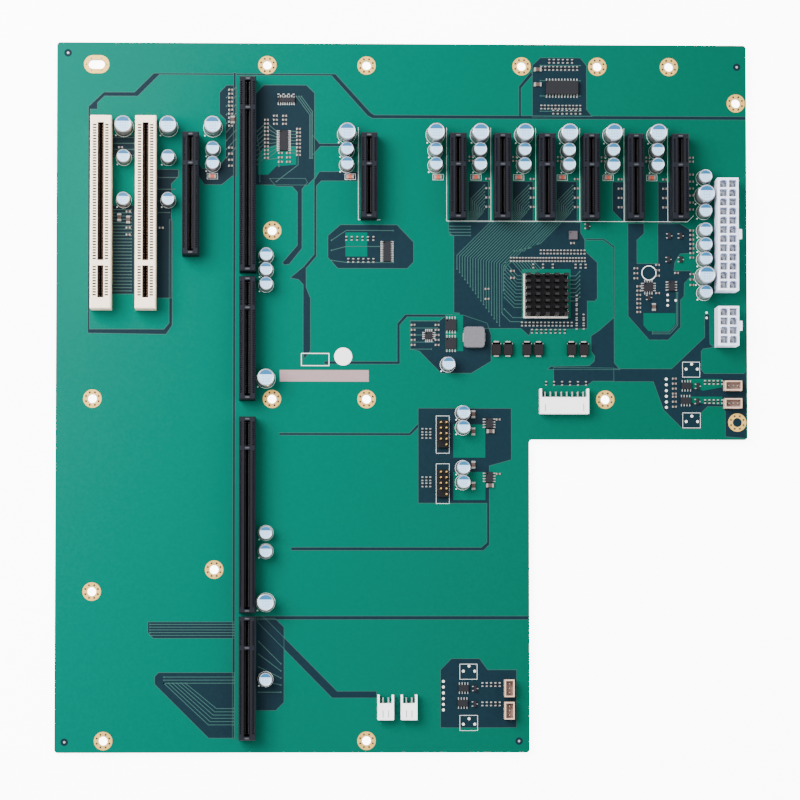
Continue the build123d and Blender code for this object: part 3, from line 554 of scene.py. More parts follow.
class BACKPLANE_OT_board(bpy.types.Operator):
    """Gives the board its mask, its bare fields, covered traces and via dots"""
    bl_idname = "backplane.board"
    bl_label = "Board"

    def execute(self, context):
        board = frame["nodes"]["board"]
        board.data.materials.clear()
        board.data.materials.append(board_finish(colours()))
        fields = bmesh.new()
        edge = sizes().mask_edge / MM
        for index, outline in enumerate(BARE_FIELDS):
            rise = index * 0.0005
            plate(fields, outline, FACE, FACE + 0.01 + rise)
            ribbon(fields, outline, edge, FACE, FACE + 0.018 + rise, 1, closed=True)
        keep("bare_fields", fields, [bare_finish(), trace_finish()], "board")
        pours = bmesh.new()
        for outline in POURS:
            plate(pours, outline, FACE, FACE + 0.042)
        keep("copper_pours", pours, [board_finish(colours())], "board")
        traces = bmesh.new()
        vias = bmesh.new()
        for first, last, count in TRACE_FANS:
            for path in fan_paths(first, last, count):
                ribbon(traces, path, 0.34, FACE, FACE + 0.046)
                for x, y in (path[0], path[-1]):
                    disc(vias, x, y, FACE, FACE + 0.05, 0.36, 8)
        keep("covered_traces", traces, [trace_finish()], "board")
        keep("trace_end_vias", vias, [trace_finish()], "board")
        return {"FINISHED"}


class BACKPLANE_OT_ink(bpy.types.Operator):
    """Prints the thin outlines round the slots and headers"""
    bl_idname = "backplane.ink"
    bl_label = "Printed outlines"

    def execute(self, context):
        bm = bmesh.new()
        for (left, high), (right, low) in SLOT_FRAMES:
            outline = [(left, low), (right, low), (right, high), (left, high)]
            ribbon(bm, outline, 0.13, FACE, FACE + 0.055, closed=True)
        for path in PRINTED_LINES:
            ribbon(bm, path, 0.15, FACE, FACE + 0.058)
        keep("printed_outlines", bm, [ink()], "board")
        return {"FINISHED"}


HOLES = [
    (-62.03, 152.2), (-16.53, 152.2), (54.73, 152.2), (89.63, 152.2), (122.63, 152.2), (153.48, 135.5),
    (153.48, -11.6), (-59.73, 76.0), (-59.73, -1.2), (-16.53, -1.2), (-141.53, -1.2), (92.83, -1.2),
    (-85.93, -79.1), (-141.53, -89.1), (-136.13, -156.9), (-16.53, -156.9),
]
SLOTTED_HOLE = (-140.13, 152.2)
FIDUCIALS = [(-153.2, 157.4), (154.0, 152.3), (-153.7, -157.4), (53.0, -157.1)]


def ring(bm, x, y, inner, outer, low, high, steps, stretch=0.0, material=0):
    """A flat ring, or an oval one when stretched along X."""
    paths = []
    for radius in (inner, outer):
        path = []
        for step in range(steps):
            angle = math.tau * step / steps
            side = stretch if math.cos(angle) > 0 else -stretch
            path.append((x + side + radius * math.cos(angle), y + radius * math.sin(angle)))
        paths.append(path)
    middle = [tuple((Vector(a) + Vector(b)) / 2) for a, b in zip(*paths)]
    ribbon(bm, middle, outer - inner, low, high, material, closed=True)


class BACKPLANE_OT_screw_holes(bpy.types.Operator):
    """Rings each screw hole with gold and its small vias, and adds the fiducials"""
    bl_idname = "backplane.screw_holes"
    bl_label = "Screw holes"

    def execute(self, context):
        bm = bmesh.new()
        outer = sizes().ring_radius / MM
        # The small discs round each hole take material 1, dark discs through the board: painted shade in place of
        # the open via holes.
        for face, back in ((FACE, FACE + 0.05), (BACK - 0.05, BACK)):
            for x, y in HOLES:
                ring(bm, x, y, 2.06, outer, face, back, 40)
                for step in range(8):
                    angle = math.tau * (step + 0.5) / 8
                    spot = (x + 3.1 * math.cos(angle), y + 3.1 * math.sin(angle))
                    disc(bm, *spot, face - 0.01, back + 0.01, 0.48, 8, 1)
            x, y = SLOTTED_HOLE
            ring(bm, x, y, 2.16, outer, face, back, 40, 1.6)
            for step in range(6):
                angle = math.tau * step / 6
                spot = (x + 4.7 * math.cos(angle), y + 3.15 * math.sin(angle))
                disc(bm, *spot, face - 0.01, back + 0.01, 0.28, 8, 1)
        keep("screw_hole_rings", bm, [gold(), finish("via_painted_shade", (0.02, 0.01, 0.005), 0.6)], "gold_pins")
        marks = bmesh.new()
        for x, y in FIDUCIALS:
            disc(marks, x, y, FACE, FACE + 0.02, 1.7, 20, 0)
            disc(marks, x, y, FACE, FACE + 0.05, 0.55, 12, 1)
        keep("fiducials", marks, [bare_finish(), tin()], "board")
        return {"FINISHED"}


LANE_NODES = ["eight_lane_slot"] + [f"four_lane_slot_{n}" for n in range(1, 8)] \
    + [f"host_connector_{letter}" for letter in "abcd"]
BUS_NODES = ["bus_slot_1", "bus_slot_2"]
LANE_KEY = 14.2
BUS_FIRST = 4.4
BUS_PITCH = 1.27


def lane_contacts(length):
    """Distances of a lane slot's contacts from its top end."""
    first = [LANE_KEY - 1.5 - index for index in range(11)]
    count = round(length - 1.8 - 1.5 - (LANE_KEY + 1.5)) + 1
    return sorted(first) + [LANE_KEY + 1.5 + index for index in range(count)]


def bus_contacts():
    return [BUS_FIRST + BUS_PITCH * index for index in range(62) if index not in (49, 50)]


def lines(marks, low, high):
    """Sorted grid lines between two ends, with near doubles dropped."""
    kept = []
    for mark in sorted({round(mark, 3) for mark in marks} | {low, high}):
        if low - 1e-6 <= mark <= high + 1e-6 and (not kept or mark - kept[-1] > 0.02):
            kept.append(mark)
    return kept


def slot_piece(node, contacts, key, window, opening, end_walls, materials, slot):
    """A slot housing with its card opening and a window over each contact."""
    low, high = centre_of(node)
    middle = (low.x + high.x) / 2
    top = high.y
    length = high.y - low.y
    width = high.x - low.x
    offset, wide, tall = window
    half_key = key[1] / 2
    runs = [(end_walls[0], key[0] - half_key), (key[0] + half_key, length - end_walls[1])]
    cross = [0.0, length] + [value for run in runs for value in run]
    for contact in contacts:
        cross += [contact - tall / 2, contact + tall / 2]
    steps = [0.0, 0.45, opening, opening + 0.45, offset - wide / 2, offset + wide / 2]
    xs = lines([middle + side * step for step in steps for side in (-1, 1)]
               + [low.x + 0.45, high.x - 0.45], low.x, high.x)
    ys = lines([top - value for value in cross] + [top - 0.45, low.y + 0.45], low.y, high.y)
    ordered = sorted(contacts)

    def depth_at(x, y):
        across, along = abs(x - middle), top - y
        in_run = any(start < along < end for start, end in runs)
        if in_run and across < opening:
            return 8.6
        if in_run and across < opening + 0.45:
            return 0.7
        if abs(across - offset) < wide / 2:
            if any(abs(along - contact) < tall / 2 for contact in ordered):
                return 3.0
        return 0.0

    bm = bmesh.new()
    # The pocket faces take the second material, a painted shade.
    relief(bm, xs, ys, depth_at, FACE, high.z, 0.4, 0, 1)
    return keep(f"{node}_housing", bm, materials, slot, node)


class BACKPLANE_OT_slots(bpy.types.Operator):
    """Builds the slot housings with a window for each contact, and their contacts"""
    bl_idname = "backplane.slots"
    bl_label = "Card slots"

    def execute(self, context):
        black = black_plastic()
        # Pocket faces take darker copies of the housing plastic: painted shade in the windows and the card opening.
        painted_shade_black = finish("black_housing_painted_shade", (0.002, 0.002, 0.0025), 0.6, shine=0.05)
        ivory = finish("ivory_housing", tuple(colours().ivory_housing), 0.42, 0, 700, 0.05, 0.08,
                       glow=0.06)
        brown = finish("ivory_housing_painted_shade", (0.016, 0.009, 0.006), 0.55, shine=0.1)
        for node in LANE_NODES:
            low, high = centre_of(node)
            length = high.y - low.y
            slot_piece(node, lane_contacts(length), (LANE_KEY, 1.8), (2.75, 1.0, 0.55), 0.95, (1.8, 1.8),
                       [black, painted_shade_black], "black_housing")
        for node in BUS_NODES:
            key = BUS_FIRST + 49.5 * BUS_PITCH
            slot_piece(node, bus_contacts(), (key, 2.3), (2.75, 1.6, 0.7), 0.95, (3.2, 4.9),
                       [ivory, brown], "ivory_housing")
        self.contacts()
        self.tails()
        return {"FINISHED"}

    def contacts(self):
        bm = bmesh.new()
        for node in LANE_NODES + BUS_NODES:
            low, high = centre_of(node)
            middle = (low.x + high.x) / 2
            bus = node in BUS_NODES
            places = bus_contacts() if bus else lane_contacts(high.y - low.y)
            half = 0.3 if bus else 0.2
            metal = 0 if bus else 1
            for place in places:
                y = high.y - place
                for side in (-1, 1):
                    x = middle + side * 2.5
                    spring = middle + side * 0.72
                    block(bm, (x - 0.12, y - half, high.z - 3), (x + 0.12, y + half, high.z - 1.1), metal)
                    block(bm, (spring - 0.16, y - half, high.z - 8), (spring + 0.16, y + half, high.z - 2.2), metal)
            # Rounded grey blocks at each lane slot's key and ends: a painted highlight on the black housing's
            # bridges.
            for y in () if bus else (high.y - 1.0, high.y - LANE_KEY, low.y + 1.0):
                block(bm, (middle - 1.0, y - 0.4, high.z - 0.4), (middle + 1.0, y + 0.4, high.z + 0.06), 2, 0.1)
        warm = finish("contact_gold", (0.1, 0.055, 0.03), 0.35, 0.5)
        dim = finish("contact_in_shade", (0.06, 0.052, 0.056), 0.4, 0.5)
        bump = finish("key_painted_highlight", (0.035, 0.036, 0.042), 0.4)
        keep("slot_contacts", bm, [warm, dim, bump], "gold_pins")

    def tails(self):
        cone = template_of(solder_tail)
        places = []
        for node in LANE_NODES + BUS_NODES:
            low, high = centre_of(node)
            middle = (low.x + high.x) / 2
            bus = node in BUS_NODES
            for index, place in enumerate(bus_contacts() if bus else lane_contacts(high.y - low.y)):
                near, far = (1.27, 3.81) if bus else (1.25, 3.25)
                out = near if index % 2 else far
                places += [(middle + side * out, high.y - place, 0) for side in (-1, 1)]
        bm = bmesh.new()
        stamp(bm, cone, places)
        keep("slot_solder_tails", bm, [solder()], "tinned_metal")


def solder_tail(bm):
    """A solder cone under the board with the tail's tip standing out of it."""
    radius = sizes().tail_radius / MM
    disc(bm, 0, 0, BACK - 0.7, BACK + 0.01, 0.26, 6, 0, radius)
    block(bm, (-0.17, -0.17, BACK - 1.5), (0.17, 0.17, BACK - 0.6))


CAN_NODES = {
    "large": ["large_capacitors_slot", "large_capacitors_left", "large_capacitors_host",
              "large_capacitors_power"],
    "small": ["small_capacitors_slot", "small_capacitors_left", "small_capacitors_host",
              "small_capacitors_power", "small_capacitors_fan"],
}


def island_centres(node):
    """Middle of each separate solid in a node, in millimetres."""
    mesh = frame["nodes"][node].data
    bm = bmesh.new()
    bm.from_mesh(mesh)
    bmesh.ops.remove_doubles(bm, verts=bm.verts, dist=1e-6)
    left = set(bm.verts)
    centres = []
    while left:
        group, queue = set(), [left.pop()]
        while queue:
            vert = queue.pop()
            group.add(vert)
            for edge in vert.link_edges:
                other = edge.other_vert(vert)
                if other in left:
                    left.remove(other)
                    queue.append(other)
        xs, ys = [v.co.x for v in group], [v.co.y for v in group]
        centres.append(((min(xs) + max(xs)) / 2 / MM, (min(ys) + max(ys)) / 2 / MM))
    bm.free()
    return sorted(centres)


def can(bm, radius, height):
    """A can with a bead near its base, a rolled top edge and its printed top."""
    profile = [(0, 0.25), (radius * 0.86, 0.25), (radius * 0.98, 0.6), (radius * 0.98, 1.3),
               (radius * 0.88, 1.75), (radius * 0.88, 2.1), (radius * 0.98, 2.5),
               (radius * 0.98, height - 0.7), (radius * 0.95, height - 0.25), (radius * 0.87, height - 0.05),
               (radius * 0.84, height - 0.1), (0, height - 0.1)]
    turned(bm, profile, 24)
    # The bead's faces take material 4, a dark finish: painted shade in the crease.
    for face in bm.faces:
        if 1.3 < face.calc_center_median().z < 2.4:
            face.material_index = 4
    top = height - 0.1
    disc(bm, 0, 0, top - 0.05, top + 0.02, radius * 0.84, 24, 1)
    start, end = math.radians(22), math.radians(158)
    arc = [start + (end - start) * step / 10 for step in range(11)]
    plate(bm, [(radius * 0.83 * math.cos(a), radius * 0.83 * math.sin(a)) for a in arc], top, top + 0.05, 2)
    for row in (0.12, -0.2, -0.5):
        for column in (-0.3, 0.0, 0.3):
            x, y = column * radius, row * radius
            block(bm, (x - 0.07 * radius, y - 0.04 * radius, top), (x + 0.07 * radius, y + 0.04 * radius, top + 0.03), 3)
    disc(bm, radius * 0.55, radius * 0.35, top, top + 0.04, radius * 0.07, 8, 4)
    ring(bm, 0, 0, radius + 0.28, radius + 0.42, 0, 0.055, 24, material=5)
    disc(bm, -0.8 * radius - 0.5, -0.8 * radius - 0.5, 0, 0.055, 0.35, 8, 5)
    bmesh.ops.translate(bm, vec=(0, 0, FACE), verts=bm.verts)


class BACKPLANE_OT_capacitors(bpy.types.Operator):
    """Spins the can capacitors"""
    bl_idname = "backplane.capacitors"
    bl_label = "Can capacitors"

    def execute(self, context):
        shell = finish("can_aluminium", (0.5, 0.51, 0.54), 0.3, 0.8, 500, 0.08)
        top = finish("can_top", (0.38, 0.58, 0.8), 0.4, 0.1, 600, 0.04)
        mark = finish("can_mark", tuple(colours().can_mark), 0.45, 0, 600, 0.06)
        print_ink = finish("can_print", (0.12, 0.24, 0.42), 0.5, 0, 600, 0.05)
        shade = finish("can_crimp_painted_shade", (0.03, 0.03, 0.035), 0.5, 0.3)
        for size, (radius, height) in {"large": (4.0, 11.5), "small": (3.15, 8.0)}.items():
            template = template_of(lambda bm: can(bm, radius, height))
            for node in CAN_NODES[size]:
                bm = bmesh.new()
                stamp(bm, template, [(x, y, 0) for x, y in island_centres(node)])
                piece = keep(f"{node}_cans", bm, [shell, top, mark, print_ink, shade, ink()],
                             "capacitor_can", node)
                for polygon in piece.data.polygons:
                    polygon.use_smooth = polygon.material_index == 0
                edge = piece.modifiers.new("edges", "EDGE_SPLIT")
                edge.split_angle = math.radians(35)
        return {"FINISHED"}


def grid_lines(centres, half):
    return [value for centre in centres for value in (centre - half, centre + half)]


class BACKPLANE_OT_power_headers(bpy.types.Operator):
    """Builds the white power headers and their latches"""
    bl_idname = "backplane.power_headers"
    bl_label = "Power headers"

    def execute(self, context):
        white = finish("power_housing", (0.7, 0.76, 0.92), 0.4, 0, 700, 0.04, 0.05, glow=0.15)
        # The cells' inner walls take an emitting copy of the plastic: painted light that brightens the cavities
        # though no lamp is there.
        inside = finish("power_housing_painted_glow", (0.7, 0.76, 0.92), 0.5, glow=0.2, light=0.45)
        for node, rows in (("main_power", 12), ("host_power", 4)):
            low, high = centre_of(f"{node}_header")
            right = low.x + 9.6
            columns = [low.x + 2.7, low.x + 6.9]
            middles = [low.y + 2.7 + 4.2 * index for index in range(rows)]
            xs = lines(grid_lines(columns, 1.7) + [low.x + 0.3, right - 0.3], low.x, right)
            ys = lines(grid_lines(middles, 1.7) + [low.y + 0.3, high.y - 0.3], low.y, high.y)

            def depth_at(x, y):
                if any(abs(x - column) < 1.7 for column in columns):
                    if any(abs(y - middle) < 1.7 for middle in middles):
                        return 9.8
                return 0.0

            bm = bmesh.new()
            relief(bm, xs, ys, depth_at, FACE, high.z, 0.25, 0, 1)
            middle = (low.y + high.y) / 2
            profile = [(right, high.z), (right + 1.4, high.z), (right, high.z - 4.0)]
            face = bm.faces.new([bm.verts.new((x, middle - 2.2, z)) for x, z in profile])
            made = bmesh.ops.extrude_face_region(bm, geom=[face])["geom"]
            bmesh.ops.translate(bm, vec=(0, 4.4, 0),
                                verts=[item for item in made if isinstance(item, bmesh.types.BMVert)])
            for column in columns:
                for index, y in enumerate(middles):
                    if (index + (column == columns[1])) % 2:
                        for side in (-1, 1):
                            block(bm, (column + side * 1.45 - 0.25, y + 1.2, high.z - 9.7),
                                  (column + side * 1.45 + 0.25, y + 1.7, high.z - 0.02))
            keep(f"{node}_shroud", bm, [white, inside], "power_housing",
                 f"{node}_header", f"{node}_cell_walls")
        return {"FINISHED"}


class BACKPLANE_OT_small_headers(bpy.types.Operator):
    """Builds the side-entry, shrouded and pin headers"""
    bl_idname = "backplane.small_headers"
    bl_label = "Small headers"

    def execute(self, context):
        nodes = frame["nodes"]
        white = white_plastic()
        for name in ("eight_way", "two_way_1", "two_way_2"):
            self.finish_node(nodes[f"{name}_header"], white, 0.15)
        # Grey strips at the end pins of the white headers: painted shade in their grooves.
        groove_shade = finish("header_groove", (0.3, 0.31, 0.32), 0.6)
        bm = bmesh.new()
        for name, ways in (("eight_way", 8), ("two_way_1", 2), ("two_way_2", 2)):
            low, high = centre_of(f"{name}_header")
            middle = (low.x + high.x) / 2
            for index in {0, ways - 1}:
                x = middle + (index - (ways - 1) / 2) * 2.5
                block(bm, (x - 0.22, low.y + 1.2, high.z - 0.3), (x + 0.22, low.y + 4.4, high.z + 0.02))
        keep("header_grooves", bm, [groove_shade], "white_housing")
        beige = finish("beige_housing", (0.5, 0.34, 0.25), 0.45, 0, 700, 0.08, 0.06, glow=0.05)
        # The pocket inside each shell takes a darker copy of the beige plastic: painted shade.
        pink = finish("beige_housing_painted_shade", (0.3, 0.2, 0.17), 0.55)
        for index in range(1, 5):
            low, high = centre_of(f"sensor_{index}_header")
            xs = lines([low.x + 0.6, high.x - 0.6], low.x, high.x)
            ys = lines([low.y + 0.6, high.y - 0.6], low.y, high.y)

            def depth_at(x, y):
                inner = low.x + 0.6 < x < high.x - 0.6 and low.y + 0.6 < y < high.y - 0.6
                return 4.5 if inner else 0.0

            bm = bmesh.new()
            relief(bm, xs, ys, depth_at, FACE, high.z, 0.0, 0, 1)
            keep(f"sensor_{index}_shell", bm, [beige, pink], "beige_housing", f"sensor_{index}_header")
        base = finish("pin_base", (0.004, 0.004, 0.005), 0.5, 0, 1200, 0.3, shine=0.1)
        for index in (1, 2):
            self.finish_node(nodes[f"fan_header_{index}"], base, 0.15)
            self.finish_node(nodes[f"fan_pins_{index}"], gold(), 0.1)
        for name in ("main_power", "host_power", "eight_way", "two_way_1", "two_way_2", "sensor"):
            self.finish_node(nodes[f"{name}_pins"], tin(), 0.08)
        return {"FINISHED"}

    def finish_node(self, node, material, width):
        """Eases a solid's edges with modifiers, and gives it its finish."""
        node.data.materials.clear()
        node.data.materials.append(material)
        weld = node.modifiers.new("weld", "WELD")
        weld.merge_threshold = 1e-6
        ease = node.modifiers.new("ease", "BEVEL")
        ease.width = width * MM
        ease.segments = 1
        ease.limit_method = "ANGLE"
        ease.angle_limit = math.radians(40)


class BACKPLANE_OT_heatsink(bpy.types.Operator):
    """Builds the switch chip and its pin-fin heatsink"""
    bl_idname = "backplane.heatsink"
    bl_label = "Heatsink"

    def execute(self, context):
        low, high = centre_of("heatsink")
        black = finish("anodised_black", (0.005, 0.005, 0.006), 0.4, 0.2, 900, 0.2, 0.08, shine=0.12)
        edge = finish("machined_edge", (0.75, 0.72, 0.66), 0.3, 0.8, 900, 0.1)
        bm = bmesh.new()
        block(bm, (low.x, low.y, low.z), (high.x, high.y, low.z + 1.75), 1, 0.12)
        block(bm, (low.x + 0.8, low.y + 0.8, low.z + 1.5), (high.x - 0.1, high.y - 0.1, low.z + 1.85), 0)
        size = high.x - low.x
        for column in range(5):
            for row in range(7):
                x = low.x + 2.1 + column * (size - 3.1) / 4
                y = low.y + 1.7 + row * (size - 2.4) / 6
                start = len(bm.faces)
                block(bm, (x - 1.0, y - 0.65, low.z + 1.8), (x + 1.0, y + 0.65, high.z), 0, 0.12)
                bm.faces.ensure_lookup_table()
                for face in bm.faces[start:]:
                    face.normal_update()
                    # Fin tops take material 2: a painted glint, lighter and more metallic than the anodising.
                    if face.calc_center_median().z > high.z - 0.02:
                        face.material_index = 2
        # Painted highlight on the fin tops.
        fin_glint = finish("fin_tip_painted_glint", (0.011, 0.01, 0.011), 0.4, 0.3, 900, 0.25, shine=0.2)
        keep("pin_fin_heatsink", bm, [black, edge, fin_glint], "heatsink", "heatsink")
        low, high = centre_of("switch_chip")
        chip = bmesh.new()
        block(chip, (low.x, low.y, low.z + 0.35), (high.x, high.y, low.z + 0.8), 1, 0.05)
        block(chip, (low.x + 1, low.y + 1, low.z + 0.75), (high.x - 1, high.y - 1, high.z), 0, 0.2)
        for column in range(16):
            for row in range(16):
                if 3 < column < 12 and 3 < row < 12:
                    continue
                disc(chip, low.x + 1.6 + column * 1.05, low.y + 1.6 + row * 1.05, FACE + 0.02, low.z + 0.4,
                     0.25, 6, 2)
        keep("switch_chip_package", chip, [moulding(), bare_finish(), solder()], "chip_body", "switch_chip")
        return {"FINISHED"}


CHIPS = {
    "clock_buffer": (8, "y"), "left_link_driver": (12, "x"), "top_link_driver": (11, "y"),
    "centre_link_driver": (12, "x"), "fan_controllers": (4, "x"), "power_monitor": (4, "x"),
    "clock_source": (4, "q"), "reset_chip": (0, "none"), "regulator_chip": (4, "q"),
    "power_transistors": (4, "y"),
}


def chip_body(bm, low, high):
    """A moulded body with sloped sides and a pin-one dimple ring."""
    start = len(bm.verts)
    block(bm, low, high, 0, 0.12)
    bm.verts.ensure_lookup_table()
    middle = (Vector(low) + Vector(high)) / 2
    for vert in bm.verts[start:]:
        if vert.co.z > middle.z:
            vert.co.x = middle.x + (vert.co.x - middle.x) * 0.965
            vert.co.y = middle.y + (vert.co.y - middle.y) * 0.965
    disc(bm, low[0] + 0.8, high[1] - 0.8, high[2] - 0.02, high[2] + 0.0, 0.3, 10, 2)


def lead(bm, x, y, way, high):
    """A gull-wing lead from the body's side down to its pad."""
    width = sizes().lead_width / MM / 2
    across, along = Vector(way), Vector((-way[1], way[0]))
    for near, far, low, top in ((-0.1, 0.35, high * 0.5, high * 0.5 + 0.12), (0.25, 0.4, 0.05, high * 0.5 + 0.12),
                                (0.25, 0.85, 0.03, 0.15)):
        a = Vector((x, y)) + across * near - along * width
        b = Vector((x, y)) + across * far + along * width
        block(bm, (min(a.x, b.x), min(a.y, b.y), FACE + low), (max(a.x, b.x), max(a.y, b.y), FACE + top), 1)
    a = Vector((x, y)) + across * 0.2 - along * (width + 0.07)
    b = Vector((x, y)) + across * 1.15 + along * (width + 0.07)
    block(bm, (min(a.x, b.x), min(a.y, b.y), FACE), (max(a.x, b.x), max(a.y, b.y), FACE + 0.06), 3)


class BACKPLANE_OT_chips(bpy.types.Operator):
    """Builds the moulded chips with their leads and pads"""
    bl_idname = "backplane.chips"
    bl_label = "Chips"

    def execute(self, context):
        dimple = finish("chip_dimple", (0.05, 0.05, 0.052), 0.7)
        for node, (count, sides) in CHIPS.items():
            bm = bmesh.new()
            low, high = centre_of(node)
            bodies = [(low, high)]
            if node in ("fan_controllers", "power_transistors"):
                tall = {"fan_controllers": 4.9, "power_transistors": 5.4}[node]
                bodies = [(low, Vector((high.x, low.y + tall, high.z))),
                          (Vector((low.x, high.y - tall, low.z)), high)]
            for base, top in bodies:
                room = 0.0 if sides in ("q", "none") or node == "power_transistors" else 0.5
                if sides == "x":
                    body = ((base.x + room, base.y, FACE + 0.1), (top.x - room, top.y, top.z))
                else:
                    body = ((base.x, base.y + room, FACE + 0.1), (top.x, top.y - room, top.z))
                chip_body(bm, *body)
                self.leads(bm, body, count, sides)
            body = finish("small_inductor", (0.05, 0.042, 0.05), 0.55) if sides == "none" else moulding()
            keep(f"{node}_package", bm, [body, tin(), dimple, solder()], "chip_body", node)
        return {"FINISHED"}

    def leads(self, bm, body, count, sides):
        (left, bottom, _), (right, top, height) = body
        rise = height - FACE
        for index in range(count):
            share = (index + 0.5) / count
            if sides in ("x", "q"):
                y = bottom + share * (top - bottom)
                lead(bm, left, y, (-1, 0), rise)
                lead(bm, right, y, (1, 0), rise)
            if sides in ("y", "q"):
                x = left + share * (right - left)
                lead(bm, x, bottom, (0, -1), rise)
                lead(bm, x, top, (0, 1), rise)


class BACKPLANE_OT_power_parts(bpy.types.Operator):
    """Builds the inductor and the tantalum capacitors"""
    bl_idname = "backplane.power_parts"
    bl_label = "Power parts"

    def execute(self, context):
        low, high = centre_of("inductor")
        bm = bmesh.new()
        block(bm, low, high, 0)
        upright = [edge for edge in bm.edges if abs(edge.verts[0].co.z - edge.verts[1].co.z) > 1]
        bmesh.ops.bevel(bm, geom=upright, offset=1.4, segments=2, profile=0.5, affect="EDGES", material=-1)
        rim = [edge for edge in bm.edges if min(v.co.z for v in edge.verts) > high.z - 0.01]
        bmesh.ops.bevel(bm, geom=rim, offset=0.25, segments=1, profile=0.5, affect="EDGES", material=-1)
        middle = (low + high) / 2
        disc(bm, middle.x, middle.y, high.z - 0.1, high.z - 0.02, 3.0, 24, 1)
        grey = finish("inductor_body", (0.095, 0.09, 0.105), 0.6, 0, 1500, 0.25, 0.2)
        top = finish("inductor_top", (0.12, 0.112, 0.13), 0.55, 0, 1500, 0.2, 0.15)
        keep("moulded_inductor", bm, [grey, top], "inductor_body", "inductor")
        node = frame["nodes"]["inductor_terminals"]
        node.data.materials.clear()
        node.data.materials.append(tin())
        bm = bmesh.new()
        low, high = centre_of("tantalum_capacitors")
        for x, y in island_centres("tantalum_capacitors"):
            block(bm, (x - 2.1, y - 2.9, FACE + 0.15), (x + 2.1, y + 2.9, high.z), 0, 0.25)
            for side in (-1, 1):
                block(bm, (x - 1.2, min(y + side * 2.7, y + side * 3.6), FACE), (x + 1.2, max(y + side * 2.7, y + side * 3.6), FACE + 1.2), 1, 0.08)
            block(bm, (x - 2.0, y + 2.0, high.z - 0.02), (x + 2.0, y + 2.6, high.z + 0.0), 2)
        stripe = finish("tantalum_stripe", (0.3, 0.3, 0.31), 0.5)
        body = finish("tantalum_body", (0.006, 0.005, 0.006), 0.45, 0, 1500, 0.25, 0.1, shine=0.12)
        keep("tantalum_bodies", bm, [body, tin(), stripe], "chip_body", "tantalum_capacitors")
        return {"FINISHED"}


# Chip resistors and capacitors: places, turns and kinds
def row_of(start, end, count):
    """Evenly spaced places between two points."""
    first, last = Vector(start), Vector(end)
    return [tuple(first.lerp(last, index / max(1, count - 1))) for index in range(count)]


UPRIGHT_ROWS = [
    ((-69.2, 62.4), (-69.2, 62.4), 1), ((49.7, 63.1), (83.6, 63.1), 26), ((63.4, 66.6), (83.5, 66.6), 14),
    ((59.9, 60.1), (68.9, 60.1), 3), ((79.4, 60.1), (84.0, 60.1), 3), ((54.7, 33.4), (77.5, 33.4), 14),
    ((59.3, 30.1), (65.7, 30.1), 4), ((67.9, 30.1), (74.3, 30.1), 4), ((79.8, 45.8), (79.8, 38.9), 4), ((79.8, 37.1), (79.8, 32.0), 3),
    ((83.0, 37.1), (83.0, 32.0), 3), ((63.8, 151.3), (80.3, 151.3), 10), ((67.5, 154.6), (78.0, 154.6), 6),
    ((63.8, 133.4), (81.7, 133.4), 12), ((69.3, 131.1), (81.7, 131.1), 7), ((-56.9, 138.0), (-50.0, 138.0), 4),
    ((65.7, 6.2), (84.0, 6.2), 6), ((-24.9, 62.4), (-13.4, 62.4), 6), ((-25.8, 72.5), (-13.4, 72.5), 6),
    ((9.0, -15.5), (12.6, -15.5), 3), ((9.0, -18.2), (12.6, -18.2), 3), ((9.0, -37.6), (12.6, -37.6), 3), ((9.0, -40.4), (12.6, -40.4), 3),
]
FLAT_ROWS = [
    ((-78.8, 140.7), (-78.8, 124.1), 10), ((-78.8, 114.0), (-78.8, 105.7), 4), ((39.1, 100.2), (39.1, 87.3), 4),
    ((59.5, 100.2), (59.5, 87.3), 4), ((79.8, 100.2), (79.8, 87.3), 4), ((100.0, 100.2), (100.0, 87.3), 4),
    ((120.5, 100.2), (120.5, 87.3), 4), ((31.4, 110.3), (31.4, 108.5), 2), ((51.5, 110.3), (51.5, 108.5), 2), ((72.1, 110.3), (72.1, 108.5), 2),
    ((92.2, 110.3), (92.2, 108.5), 2), ((112.8, 110.3), (112.8, 108.5), 2), ((132.9, 110.3), (132.9, 108.5), 2), ((132.9, 102.5), (132.9, 86.4), 6),
    ((78.0, 74.4), (78.0, 70.7), 2), ((38.7, 49.5), (38.7, 44.9), 2), ((4.8, 32.9), (4.8, 23.7), 5), ((15.8, 32.9), (15.8, 23.7), 5),
    ((-129.1, 114.0), (-129.1, 113.1), 1), ((-125.5, 84.5), (-125.5, 83.6), 1), ((-125.5, 77.1), (-125.5, 73.9), 2), ((-110.4, 77.1), (-110.4, 76.2), 1),
    ((108.4, 50.9), (108.4, 39.1), 7), ((107.1, 59.2), (107.1, 54.6), 3), ((132.9, 76.7), (132.9, 64.2), 7),
    ((132.9, 56.6), (132.9, 51.6), 3), ((117.1, 60.8), (117.1, 55.8), 3), ((117.1, 47.8), (117.1, 47.8), 1),
    ((125.8, 57.1), (125.8, 57.1), 1), ((124.6, 8.5), (124.6, 1.6), 4), ((124.6, 0.2), (124.6, -4.4), 3), ((-62.4, 126.9), (-62.4, 109.4), 11), ((-47.7, 122.8), (-47.7, 110.8), 8),
    ((-58.3, 128.8), (-58.3, 125.1), 3), ((-54.1, 128.8), (-54.1, 125.1), 3), ((-56.0, 111.7), (-56.0, 107.6), 3), ((-52.3, 111.7), (-52.3, 107.6), 3),
    ((43.7, -10.4), (45.1, -10.4), 1), ((43.7, -35.3), (45.1, -35.3), 1), ((50.4, 57.8), (50.4, 54.6), 2),
]
